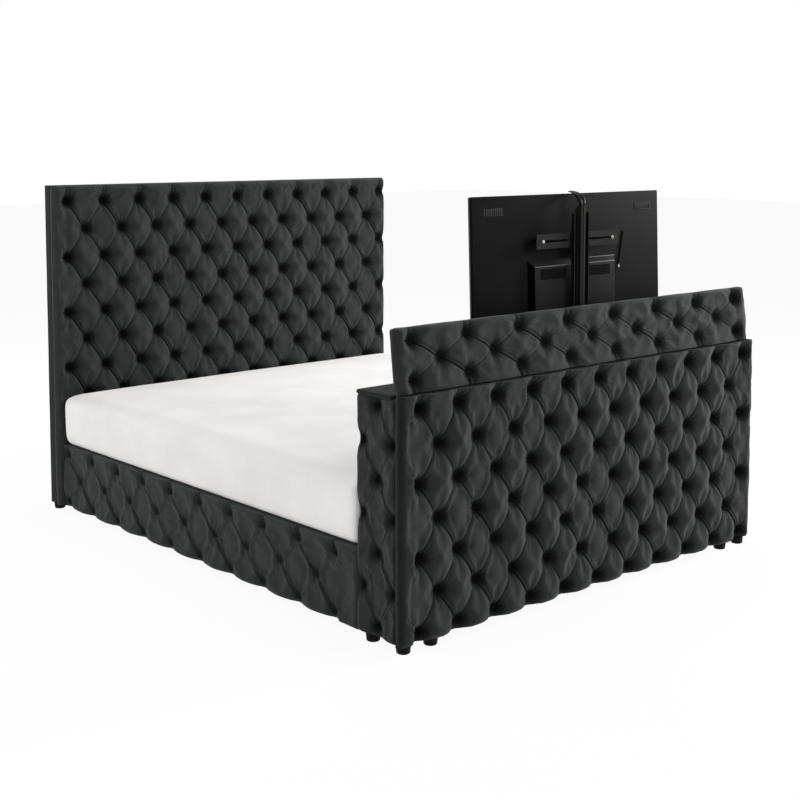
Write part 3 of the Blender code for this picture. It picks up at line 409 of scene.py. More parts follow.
def quiltHeight(x, z, plan):
    # at each point: how full the padding is, its fine folds, how much painted shade it gets, how firmly the velvet
    # is held, and the way and strength of the wrinkles from the nearest button
    spacing, pair = plan["spacing"], 2 * plan["rowStep"]
    lastColumn, lastRow = plan["columns"] - 1, (plan["rows"] - 1) / 2
    freeA, freeU = (x - plan["left"]) / spacing, (z - plan["bottom"]) / pair
    a = np.clip(freeA, 0, lastColumn) + plan["shift"]
    u = np.clip(freeU, 0, lastRow)
    freeA = freeA + plan["shift"]
    reachX, reachZ = foldLook["marginReach"]
    beyond = np.hypot((freeA - a) * spacing / reachX, (freeU - u) * pair / reachZ)
    p, q = a + u, a - u
    one, other = (np.minimum(np.hypot(np.sin(np.pi * value), beyond), 1) for value in (p, q))
    ridge = np.maximum(one, other) ** foldLook["creasePower"]
    crown = (one * other) ** foldLook["crownPower"]
    cellKey = np.floor(p) * 3.1 + np.floor(q) * 7.7 + plan["seed"]
    steady, lively = foldLook["liveliness"]
    lively = steady + lively * randomAt(cellKey)
    full = foldLook["crease"] * ridge + (1 - foldLook["crease"]) * crown * lively

    # no fold runs through the cover's corners
    outside = np.minimum(np.abs(freeA - a) * spacing, np.abs(freeU - u) * pair)
    inCorner = unit(1 - outside / foldLook["cornerReach"])

    # folds: a groove, and on the folds that fall to the right a lapped pleat beside it
    slope = math.hypot(1 / spacing, 1 / pair)
    detail, shade = np.zeros_like(x), np.zeros_like(x)
    for value, across, strength in zip((p, q), (other, one), foldLook["foldStrengths"]):
        offset = (value - np.round(value)) / slope
        foldKey = np.round(value) * 1.7 + np.floor(q if value is p else p) * 4.3 + plan["seed"]
        reach = np.minimum(across * 1.6, 1) * (1 - 0.45 * across) * (0.45 + 0.9 * randomAt(foldKey))
        reach = reach * inCorner * unit(1.4 - beyond)
        width = foldLook["grooveWidth"]
        pleat = foldLook["pleatWidth"] * (0.55 + 0.45 * np.sqrt(across))
        groove = bell(offset / width) + 0.75 * bell((offset - pleat) / width)
        rise = bell((offset - 0.5 * pleat) / (0.32 * pleat))
        detail += strength * reach * (foldLook["pleatRise"] * rise - foldLook["groove"] * groove)
        # painted shade along the grooves of the folds
        dark = strength * unit(reach) * unit(groove * 1.7 - 0.5)
        shade = np.maximum(shade, dark * foldLook["foldShade"])

    # the nearest button, its pit, and the wrinkles that run out from it
    def nearest(half):
        column = np.round(a - half) + half
        rowOf = np.round(u - half) + half
        dx = (freeA - column) * spacing
        dz = (freeU - rowOf) * pair
        return dx, dz, column * 5.3 + rowOf * 17.9

    dx0, dz0, key0 = nearest(0.0)
    dx1, dz1, key1 = nearest(0.5)
    closer = np.hypot(dx0, dz0) < np.hypot(dx1, dz1)
    dx, dz = np.where(closer, dx0, dx1), np.where(closer, dz0, dz1)
    key = np.where(closer, key0, key1) + plan["seed"]
    away = np.hypot(dx, dz)
    turn = np.arctan2(dz, dx)
    pit = unit((away - foldLook["pitRoom"]) / foldLook["pitReach"])
    full = full * pit ** foldLook["pitPower"]
    fade = unit((away - 0.009) / 0.010) * bell(away / foldLook["wrinkleReach"])
    for count, share, phase in foldLook["wrinkleFans"]:
        spokes = count + np.floor(4 * randomAt(key, phase))
        wave = 0.5 * spokes * turn + 6.28 * randomAt(key, 1.0 + phase) + 0.5 * np.sin(2 * turn + key)
        ridges = (1 - np.abs(np.cos(wave))) ** 1.2
        chance = randomAt(key, np.floor((turn + np.pi) * spokes / 12.57), 3.0 + phase)
        some = unit(1.7 * chance - 0.35)
        detail -= foldLook["wrinkle"] * plan["creased"] * share * ridges * fade * some

    # a fine crease that runs across each crown from its left button
    some = unit(2.2 * randomAt(np.floor(p), np.floor(q), 5.0) - 0.7)
    along = np.mod(q, 1) * 0.5 + np.mod(p, 1) * 0.5
    height = (np.mod(p, 1) - np.mod(q, 1)) * pair / 2 + 0.004 * np.sin(7 * along + np.floor(p) * 2)
    inner = unit(along / 0.1) * unit((0.75 - along) / 0.4)
    detail -= foldLook["cross"] * some * inner * bell(height / foldLook["crossWidth"])
    # painted shade in and around each pit, reaching further towards shadeTurn, the side of the pit that the light
    # leaves in shade
    fan = plan["pitShade"] * (1 + foldLook["shadeLean"] * np.cos(turn - plan["shadeTurn"]))
    dark = foldLook["shadeRise"] * bell(away / (foldLook["shadeWidth"] * fan))
    shade = np.maximum(shade, np.minimum(dark, 1) * plan["pitDark"])

    held = np.zeros_like(x)
    for value, hold in zip((p, q), clothLook["foldHold"]):
        offset = (value - np.round(value)) / slope
        held = np.maximum(held, hold * bell(offset / clothLook["foldWidth"]) * (beyond < 0.6))
    held = np.where(away < clothLook["buttonHold"], 1, held)
    fanned = foldLook["fanStrength"] * plan["creased"] * bell(away / foldLook["fanReach"])
    return full, detail, shade, np.round(held, 1), np.stack([dx, dz, fanned], 1)


def slowNoise(x, z, scale, seed):
    return np.array([noise.noise(Vector((a * scale + seed, c * scale, seed * 0.37)))
                     for a, c in zip(x, z)])


def pointsOf(mesh):
    points = np.empty(len(mesh.vertices) * 3)
    mesh.vertices.foreach_get("co", points)
    return points.reshape(-1, 3)


def throughModifiers(mesh, prepare):
    # the mesh as it comes out of the modifiers that prepare() puts on it
    holder = bpy.data.objects.new("holder", mesh)
    bpy.context.scene.collection.objects.link(holder)
    prepare(holder)
    result = bpy.data.meshes.new_from_object(holder.evaluated_get(bpy.context.evaluated_depsgraph_get()))
    bpy.data.objects.remove(holder)
    return result


def paddedOut(mesh, held, look, growth):
    # Cloth simulation: the velvet is cut larger than its board, held at the buttons, folds and border,
    # and the padding pushes it out between them.
    def prepare(sheet):
        group = sheet.vertex_groups.new(name="held")
        for weight in np.unique(held):
            if weight > 0:
                group.add(np.nonzero(held == weight)[0].tolist(), float(weight), "REPLACE")
        cloth = sheet.modifiers.new("Cloth", "CLOTH")
        rules = cloth.settings
        rules.quality, rules.mass = look["quality"], look["mass"]
        rules.tension_stiffness = rules.compression_stiffness = look["stiffness"]
        rules.bending_stiffness = look["bending"]
        rules.use_pressure, rules.uniform_pressure_force = True, look["pressure"]
        rules.vertex_group_mass, rules.pin_stiffness = "held", 1.0
        rules.shrink_min = -growth
        rules.effector_weights.gravity = 0
        cloth.collision_settings.use_collision = False
        for moment in range(1, look["frames"] + 1):
            bpy.context.scene.frame_set(moment)

    bpy.context.scene.frame_set(0)
    before = pointsOf(mesh)
    result = throughModifiers(mesh, prepare)
    moved = pointsOf(result) - before
    length = np.linalg.norm(moved, axis=1, keepdims=True)
    return before + moved * np.minimum(1, look["most"] / np.maximum(length, 1e-9))


def subdivided(mesh):
    def prepare(holder):
        finer = holder.modifiers.new("finer", "SUBSURF")
        finer.levels, finer.boundary_smooth = 1, "PRESERVE_CORNERS"

    return throughModifiers(mesh, prepare)


def tuftedCover(name, node, body, plan, place):
    # the whole cover as one closed piece, with its buttons as another
    mesh = diamondGrid(plan)
    flatMesh = mesh.copy()
    plain, reach, depth = plan["plain"], plan["edgeReach"], plan["depth"]

    def edgeOf(x, z):
        toEnd = np.minimum(x, plan["width"] - x)
        toTop = plan["height"] - z if plain else np.minimum(z, plan["height"] - z)
        flush = np.where(z > plan["height"] / 2, plan["topEdge"], plan["bottomEdge"])
        nearEnd = unit(1 - toEnd / plan["endReach"])
        nearLevel = unit(1 - toTop / reach) * flush
        return toEnd, toTop, nearEnd, nearLevel

    def tuftedShare(z):
        return unit((z - plain) / foldLook["plainFade"]) if plain else np.ones_like(z)

    x, z = pointsOf(mesh)[:, [0, 2]].T
    full, _, _, held, _ = quiltHeight(x, z, plan)
    tufted = tuftedShare(z)
    full = full * tufted + (1 - tufted)
    toEnd, toTop, nearEnd, nearLevel = edgeOf(x, z)
    edge = np.minimum(np.hypot(nearEnd, nearLevel), 1)
    start = clothLook["start"]
    drop = plan["edgeDrop"] * quarterRound(nearLevel) + plan["endDrop"] * quarterRound(nearEnd)
    uneven = slowNoise(x, z, foldLook["unevenScale"], plan["seed"]) * foldLook["unevenness"]
    rise = plan["thickness"] - depth * (1 - full * (start + (1 - start) * edge)) + uneven * full - drop
    bulge = plan["scallop"] * edge ** 2 * (full - 0.35)
    outX = np.where(x < plan["width"] / 2, -plan["endScallop"][0], plan["endScallop"][1])
    outX = outX * (toEnd < plan["endReach"])
    outZ = np.where(z > plan["height"] / 2, 1, 0 if plain else -1) * (toTop < reach) * plan["levelScallop"]
    shaped = np.stack([x + bulge * outX, -np.maximum(rise, rimLook["least"]), z + bulge * outZ], 1)
    mesh.vertices.foreach_set("co", shaped.ravel())
    border = np.minimum(np.minimum(x, plan["width"] - x), np.minimum(z, plan["height"] - z))
    held = np.where((border < clothLook["borderHold"]) | (tufted < 0.5), 1, held)
    shaped = paddedOut(mesh, held, clothLook, plan["growth"])
    # the pits stay and the crowns come to the height that the pad has
    base = depth - plan["thickness"]
    tallest = base - np.percentile(shaped[:, 1], 3)
    above = (base - shaped[:, 1]) * np.where(shaped[:, 1] < base, (1 - edge) * depth / tallest + edge, 1)
    shaped[:, 1] = np.minimum(base - above, -rimLook["least"])
    mesh.vertices.foreach_set("co", shaped.ravel())
    mesh, flatMesh = subdivided(mesh), subdivided(flatMesh)

    # fine folds and wrinkles across the padded shape
    x, z = pointsOf(flatMesh)[:, [0, 2]].T
    _, detail, shade, _, wrinkled = quiltHeight(x, z, plan)
    edge = np.minimum(np.hypot(*edgeOf(x, z)[2:]), 1)
    calm = 1 - 0.7 * edge ** 3
    # painted shade from the folds and pits, less of it near the edges, and a band of painted shade along the ends
    # named in darkEnds
    shade = shade * tuftedShare(z) * (1 - 0.45 * edge ** 2)
    for strength, fromEnd in zip(plan["darkEnds"], (x, plan["width"] - x)):
        shade = np.maximum(shade, strength * unit(1 - fromEnd / foldLook["endShadeWidth"]))
    shaped = pointsOf(mesh)
    shaped[:, 1] -= detail * calm * tuftedShare(z)
    shaped[:, 1] = np.clip(shaped[:, 1], -plan["thickness"] - 0.004, -rimLook["least"])
    mesh.vertices.foreach_set("co", shaped.ravel())
    work = bmesh.new()
    work.from_mesh(mesh)
    # a vertex attribute carries the painted shade to the velvet
    layer = work.verts.layers.float.new("crushed")
    fanLayer = work.verts.layers.float_vector.new("wrinkled")
    for vert, dark, fan in zip(work.verts, shade, wrinkled * tuftedShare(z)[:, None]):
        vert[layer], vert[fanLayer] = dark, fan

    # sides down to the flat back
    rim = [line for line in work.edges if line.is_boundary]
    inset, above = rimLook["inset"], 1
    for share, endDark in rimLook["rings"]:
        ring = bmesh.ops.extrude_edge_only(work, edges=rim)["geom"]
        for vert in (item for item in ring if isinstance(item, bmesh.types.BMVert)):
            onEnd = min(vert.co.x, plan["width"] - vert.co.x) < rimLook["endWidth"]
            way = Vector((math.copysign(1, vert.co.x - plan["width"] / 2), 0, 0)) if onEnd else \
                Vector((0, 0, math.copysign(1, vert.co.z - plan["height"] / 2)))
            previous = vert.co.y
            # painted shade on the wall of the top side where darkTop is set, and on the tucked ends
            if plan["darkTop"] and not onEnd and way.z > 0:
                vert[layer] = rimLook["topDark"]
            elif plan["tuck"] and onEnd:
                vert[layer] = endDark
            vert.co.y = previous * share / above
            if above == 1:
                toLevel = min(vert.co.z, plan["height"] - vert.co.z)
                fullness = -previous / (plan["thickness"] - plan["endDrop"])
                fullness *= 1 - math.exp(-toLevel / rimLook["swellReach"])
                swell = plan["endScallop"][way.x > 0] * rimLook["endSwell"] * fullness
                vert.co += way * plan["scallop"] * (swell if onEnd else rimLook["levelSwell"])
            elif share == 0:
                fromEnd = inset + plan["tuck"]
                vert.co.x = min(max(vert.co.x, fromEnd), plan["width"] - inset - plan["tuck"])
                vert.co.z = min(max(vert.co.z, inset), plan["height"] - inset)
        rim = [item for item in ring if isinstance(item, bmesh.types.BMEdge)]
        above = share
    bmesh.ops.contextual_create(work, geom=rim)
    bmesh.ops.recalc_face_normals(work, faces=work.faces)
    bmesh.ops.transform(work, matrix=place, verts=work.verts)
    cover = addPiece(name, finished(name, work), body, "velvet", 75)
    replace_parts(cover, node)

    # velvet buttons at the bottoms of the pits
    work = bmesh.new()
    floorHeight = plan["thickness"] - depth + buttonLook["above"]
    shape = Matrix.Diagonal((buttonLook["radius"], buttonLook["rise"], buttonLook["radius"], 1))
    for row in range(plan["rows"]):
        half = (row % 2) / 2 if plan["shift"] == 0 else (1 - row % 2) / 2
        for column in range(plan["columns"] - (1 if half else 0)):
            x = plan["left"] + (column + half) * plan["spacing"]
            z = plan["bottom"] + row * plan["rowStep"]
            if z < plain:
                continue
            bmesh.ops.create_uvsphere(work, u_segments=18, v_segments=8, radius=1,
                                      matrix=Matrix.Translation((x, -floorHeight, z)) @ shape)
    # the buttons get strong painted shade, so they sink into the dark of the pits
    layer = work.verts.layers.float.new("crushed")
    for vert in work.verts:
        vert[layer] = buttonLook["crushed"]
    bmesh.ops.transform(work, matrix=place, verts=work.verts)
    addPiece(name + "Buttons", finished(name + "Buttons", work), body, "velvet", 180)
    print(name, len(cover.data.polygons), "faces")


def planOf(look, width, height, thickness, left, right, bottom, top, seed, **more):
    # a piece's values with the usual ones under them and the lattice's measures over them
    drop = look["depth"] * 0.55
    return {"edgeDrop": drop, "endDrop": drop, "scallop": 0.006, "levelScallop": 0.4, "endScallop": (1, 1),
            "topEdge": 1.0, "bottomEdge": 1.0, "tuck": 0.0, "growth": clothLook["growth"], "creased": 1.0,
            "darkTop": False, "darkEnds": (0, 0), "pitDark": 1.0, "shadeTurn": 0, "shift": 0, "plain": 0,
            "pitShade": foldLook["pitShade"] * look["depth"] / 0.040, **look, **more,
            "width": width, "height": height, "thickness": thickness, "left": left, "bottom": bottom,
            "spacing": (width - left - right) / (look["columns"] - 1),
            "rowStep": (height - bottom - top) / (look["rows"] - 1), "seed": seed}


headboardPlan = {"columns": 11, "rows": 9, "depth": 0.042, "plain": 0.310, "sideMargin": 0.047,
                 "sideways": 0.014, "topMargin": 0.074, "rowStep": 0.1309, "edgeReach": 0.034,
                 "endReach": 0.040, "endDrop": 0.024, "growth": 0.018, "pitDark": 0.90}
# the front cover gets painted shade on the wall of its top side and along its left end
frontPlan = {"columns": 11, "rows": 7, "depth": 0.042, "sideMargin": 0.067, "sideways": 0.014,
             "topMargin": 0.050, "bottomMargin": 0.032, "edgeReach": 0.034, "endReach": 0.034,
             "endDrop": 0.026, "topEdge": 0.5, "scallop": 0.028, "levelScallop": 0.15, "darkTop": True,
             "tuck": 0.016, "endScallop": (0.1, 1), "darkEnds": (0.6, 0), "pitDark": 0.90}
railPlan = {"columns": 10, "rows": 3, "depth": 0.019, "footMargin": 0.142, "headMargin": 0.031,
            "topMargin": 0.048, "bottomMargin": 0.021, "edgeReach": 0.020, "endReach": 0.020,
            "topEdge": 0.5, "growth": 0.006, "creased": 0.5, "pitShade": 0.027, "pitDark": 0.72,
            "shadeTurn": math.pi / 2}
sidePlan = {"columns": 2, "rows": 7, "depth": 0.022, "shift": 0.5, "rearMargin": 0.025,
            "frontMargin": 0.0176, "beyond": 0.0205, "bottomMargin": 0.036, "edgeReach": 0.016,
            "endReach": 0.020, "endDrop": 0.014, "scallop": 0.010, "levelScallop": 0.3, "growth": 0.008,
            "creased": 0.6, "tuck": 0.006, "pitShade": 0.026, "pitDark": 0.9}
lidPlan = {"columns": 8, "rows": 3, "depth": 0.027, "height": 0.222, "thickness": 0.035,
           "sideMargin": 0.062, "endMargin": 0.043, "edgeReach": 0.020, "endReach": 0.034,
           "endDrop": 0.018, "scallop": 0.024, "levelScallop": 0.15, "endScallop": (0.3, 1),
           "bottomEdge": 0.3, "growth": 0.003, "creased": 0.45, "pitShade": 0.033, "pitDark": 0.86,
           "lean": 6.533, "seam": 0.001, "boardBack": 0.0180, "boardHalf": 0.990, "boardThick": 0.0137,
           "clear": 0.0003}

for name, node, look, seed in (("headboardCover", "headboard_pad", headboardPlan, 1.3),
                               ("frontCover", "front_pad", frontPlan, 2.6)):
    low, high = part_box(node)
    size = high - low
    bottom = look["bottomMargin"] if "bottomMargin" in look else \
        size.z - look["topMargin"] - (look["rows"] - 1) * look["rowStep"]
    tuftedCover(name, node, "bed_frame", planOf(
        look, size.x, size.z, size.y, look["sideMargin"] + look["sideways"],
        look["sideMargin"] - look["sideways"], bottom, look["topMargin"], seed),
        Matrix.Translation((low.x, high.y, low.z)))

for side, sign in sides:
    sideTurn = Matrix.Rotation(sign * math.pi / 2, 4, "Z")
    low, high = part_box("rail_pad_" + side)
    size = high - low
    margins = (railPlan["footMargin"], railPlan["headMargin"])[::sign]
    corner = (high.x, high.y, low.z) if sign < 0 else (low.x, low.y, low.z)
    tuftedCover(side + "RailCover", "rail_pad_" + side, "bed_frame", planOf(
        railPlan, size.y, size.z, size.x, *margins, railPlan["bottomMargin"], railPlan["topMargin"],
        4.1 + sign), Matrix.Translation(corner) @ sideTurn)

    # the cabinet's side covers reach forward to the corner, and their rows meet the front's
    low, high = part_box("side_pad_" + side)
    size = high - low
    corner = (high.x, high.y, low.z) if sign < 0 else (low.x, low.y - sidePlan["beyond"], low.z)
    margins = (sidePlan["frontMargin"], sidePlan["rearMargin"])[::sign]
    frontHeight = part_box("front_pad")[1].z - low.z
    step = (frontHeight - frontPlan["topMargin"] - frontPlan["bottomMargin"]) / (frontPlan["rows"] - 1)
    # each side cover gets a band of painted shade along its front end
    tuftedCover(side + "EndCover", "side_pad_" + side, "bed_frame", planOf(
        sidePlan, size.y + sidePlan["beyond"], size.z, size.x, *margins, sidePlan["bottomMargin"],
        size.z - sidePlan["bottomMargin"] - (sidePlan["rows"] - 1) * step, 7.3 + sign,
        shadeTurn=math.pi if sign < 0 else 0, darkEnds=(0.8, 0)[::sign]),
        Matrix.Translation(corner) @ sideTurn)

hinge = next(joint for joint in frame["joints"] if joint["name"] == "lid_hinge")
flapPlace = Matrix.Translation(hinge["pos_m"]) @ Matrix.Rotation(-math.radians(lidPlan["lean"]), 4, "X")
low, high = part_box("lid_pad")
tuftedCover("flapCover", "lid_pad", "flip_lid", planOf(
    lidPlan, high.x - low.x, lidPlan["height"], lidPlan["thickness"], lidPlan["sideMargin"],
    lidPlan["sideMargin"], lidPlan["endMargin"], lidPlan["endMargin"], 9.9),
    flapPlace @ Matrix.Translation((low.x, -lidPlan["boardBack"] - lidPlan["clear"], lidPlan["seam"])))
print("tufted covers made")


# Boards wrapped in velvet
# wrapLook's last entry is an even painted shade that darkens the headboard's sides and the cabinet's top caps
wrapLook = {"step": 0.030, "radius": 0.0075, "uneven": 0.0012, "unevenScale": 9, "wrapPaintedShade": {
    "headboardSideWrap": 0.42, "leftTopCap": 0.36, "rightTopCap": 0.36}}
wrapped = {
    "headboardSideWrap": ("headboard_board", "headboard_post_left", "headboard_post_right",
                          "headboard_top_rail"),
    "headboardBackWrap": ("headboard_back_cover",), "frontBoardWrap": ("cabinet_front_board",),
    "backBoardWrap": ("cabinet_back_board",), "leftSideWrap": ("cabinet_side_left",),
    "rightSideWrap": ("cabinet_side_right",), "leftTopCap": ("cabinet_top_left",),
    "rightTopCap": ("cabinet_top_right",), "leftRailWrap": ("side_rail_left",),
    "rightRailWrap": ("side_rail_right",),
}


def edgeStations(length, radius, step):
    corner = [radius * (1 - math.cos(math.radians(angle))) for angle in (0, 30, 60, 90)]
    count = max(1, round((length - 2 * radius) / step))
    inner = list(np.linspace(radius, length - radius, count + 1))[1:-1]
    return np.array(corner + inner + [length - value for value in corner[::-1]]) - length / 2


def gridBox(half, radius, step):
    # points and faces of a rounded box about the origin, with even faces for later shaping
    radius = min(radius, *(value * 0.98 for value in half))
    axes = [edgeStations(2 * value, radius, step) for value in half]
    points, faces = {}, []
    for axis in range(3):
        u, v = [k for k in range(3) if k != axis]
        for sign in (-1, 1):
            for i in range(len(axes[u]) - 1):
                for k in range(len(axes[v]) - 1):
                    corners = []
                    for du, dv in ((0, 0), (1, 0), (1, 1), (0, 1)):
                        point = [0, 0, 0]
                        point[u], point[v] = axes[u][i + du], axes[v][k + dv]
                        point[axis] = sign * half[axis]
                        key = tuple(np.round(point, 7))
                        corners.append(points.setdefault(key, len(points)))
                    faces.append(corners if (sign > 0) == (axis != 1) else corners[::-1])
    placed = np.array(list(points))
    limit = np.array(half) - radius
    inner = np.clip(placed, -limit, limit)
    way = placed - inner
    way /= np.linalg.norm(way, axis=1, keepdims=True)
    return inner + way * radius, way, faces


def wrappedBoard(name, covered, body, place=Matrix.Identity(4), box=None):
    # velvet pulled over boards: soft edges, a little fullness and slow unevenness, and on some boards an even
    # painted shade
    boxes = [box] if box else [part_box(node) for node in covered]
    low = Vector([min(pair[0][axis] for pair in boxes) for axis in range(3)])
    high = Vector([max(pair[1][axis] for pair in boxes) for axis in range(3)])
    half, middle = (high - low) / 2, (high + low) / 2
    points, way, faces = gridBox(half, wrapLook["radius"], wrapLook["step"])
    share = 1 - (points / np.array(half)) ** 2
    fullness = np.sort(share, axis=1)[:, 1:].prod(axis=1)
    uneven = np.array([noise.noise(Vector(point) * wrapLook["unevenScale"] + middle * 3) for point in points])
    push = wrapLook["uneven"] * uneven * fullness
    points = points + way * push[:, None] + np.array(middle)
    mesh = meshOf(name, [place @ Vector(point) for point in points], faces)
    # painted shade over the whole board, as much as wrapLook gives the piece
    nap = mesh.attributes.new("crushed", "FLOAT", "POINT")
    nap.data.foreach_set("value", [wrapLook["wrapPaintedShade"].get(name, 0.0)] * len(mesh.vertices))
    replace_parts(addPiece(name, mesh, body, "velvet", 60), *covered)


for name, covered in wrapped.items():
    wrappedBoard(name, covered, "bed_frame")
lidBoardBox = ((-lidPlan["boardHalf"], -lidPlan["boardBack"], lidPlan["seam"]),
               (lidPlan["boardHalf"], -lidPlan["boardBack"] + lidPlan["boardThick"],
                lidPlan["seam"] + lidPlan["height"]))
wrappedBoard("flapBoardWrap", ("lid_board",), "flip_lid", flapPlace, lidBoardBox)
print("boards wrapped")


# Mattress
mattressLook = {"step": 0.022, "radius": 0.030, "crown": 0.018, "roll": 0.020, "rollReach": 0.085,
                "bulge": 0.018, "endBulge": 0.3, "droop": 0.008, "droopReach": 0.05, "sag": 0.0022,
                "clear": 0.002}


def makeMattress(look):
    # a rounded block with a crowned top, full sides and soft rolled upper edges
    low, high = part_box("mattress")
    top = high.z - look["crown"] - look["clear"]
    half = Vector(((high.x - low.x) / 2, (high.y - low.y) / 2, (top - low.z) / 2))
    middle = Vector(((high.x + low.x) / 2, (high.y + low.y) / 2, (top + low.z) / 2))
    points, way, faces = gridBox(half, look["radius"], look["step"])
    a, b, c = (points / np.array(half)).T
    inX, inY = (half.x - np.abs(points[:, 0]), half.y - np.abs(points[:, 1]))
    roll = unit(1 - np.minimum(inX, inY) / look["rollReach"]) ** 2
    upper = unit((c + 1) / 2) ** 2
    uneven = np.array([noise.noise(Vector((x * 2.2, y * 2.2, z * 5))) for x, y, z in points])
    folds = np.array([noise.noise(Vector((x * 7, y * 7, z * 3 + 4))) for x, y, z in points])
    bow = (1 - c ** 6) * look["bulge"] * (1 - 0.35 * folds)
    points[:, 2] += upper * (look["crown"] * (1 - a ** 2) ** 0.7 * (1 - b ** 2) ** 0.7
                             - look["roll"] * roll * (c > 0.2) * upper)
    points[:, 2] += look["sag"] * uneven * (c > 0)
    points[:, 0] += way[:, 0] * bow
    points[:, 1] += way[:, 1] * bow * look["endBulge"]
    over = unit(1 - inX / look["droopReach"])
    points[:, 2] -= look["droop"] * np.minimum(over * 3, 1) * unit(-c) ** 3
    mesh = meshOf("mattressBody", points + np.array(middle), faces)
    mattress = addPiece("mattressBody", mesh, "bed_frame", "ticking", 180)
    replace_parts(mattress, "mattress")
    smoother = mattress.modifiers.new("softCover", "SUBSURF")
    smoother.levels = smoother.render_levels = 1


makeMattress(mattressLook)
print("mattress made")


# Television and lift. The television's own frame stands at the lower crossbar and is tilted.
tvLook = {"tilt": 2.0, "place": (0.002, -1.14835, 0.942), "half": 0.5375, "bottom": -0.025, "top": 0.605,
          "rear": (0.0223, 0.0293), "coverHalf": 0.250, "coverLow": 0.003, "coverTop": 0.358,
          "coverDepth": 0.022, "coverFace": 0.0008, "slope": (0.019, 0.026), "edge": 0.0025, "inset": 0.003,
          "halfGap": 0.012, "waists": (0.06, 0.11), "waistInset": 0.03, "waistHeight": 0.004}
grilleLook = {"rows": 6, "columns": 22, "first": 0.060, "below": 0.014, "pitch": 0.0066, "half": 0.0024}
stripLook = {"low": (0.280, 0.312), "high": (0.311, 0.447), "stand": 0.002, "radius": 0.0026,
             "tipRadius": 0.0034, "tip": 0.011, "tipOut": 0.010}
ventLook = {"blocks": 9, "pitch": 0.0112, "width": 0.0078, "height": 0.021, "stand": 0.0012,
            "frameOut": 0.003, "frameHalf": 0.0135, "spots": ((-0.427, 0.546), (0.436, 0.543))}
tvPlace = Matrix.Translation(tvLook["place"]) @ Matrix.Rotation(-math.radians(tvLook["tilt"]), 4, "X")


def loftedBlock(work, back, front, radius):
    # a block between two rectangles: back and front are (x low, x high, z low, z high, y)
    corners = []
    for x0, x1, z0, z1, y in (back, front):
        corners += [work.verts.new(point) for point in ((x0, y, z0), (x1, y, z0), (x1, y, z1), (x0, y, z1))]
    for ring in ((0, 1, 2, 3), (7, 6, 5, 4), (0, 4, 5, 1), (1, 5, 6, 2), (2, 6, 7, 3), (3, 7, 4, 0)):
        work.faces.new([corners[k] for k in ring])
    softEdges(work, corners, radius)
    bmesh.ops.recalc_face_normals(work, faces=work.faces)


def fitting(name, work, slot, finish=None, body="tv_carriage"):
    return addPiece(name, finished(name, work), body, slot, 35, finish)


def onTelevision(name, work, slot, finish=None):
    bmesh.ops.transform(work, matrix=tvPlace, verts=work.verts)
    return fitting(name, work, slot, finish)


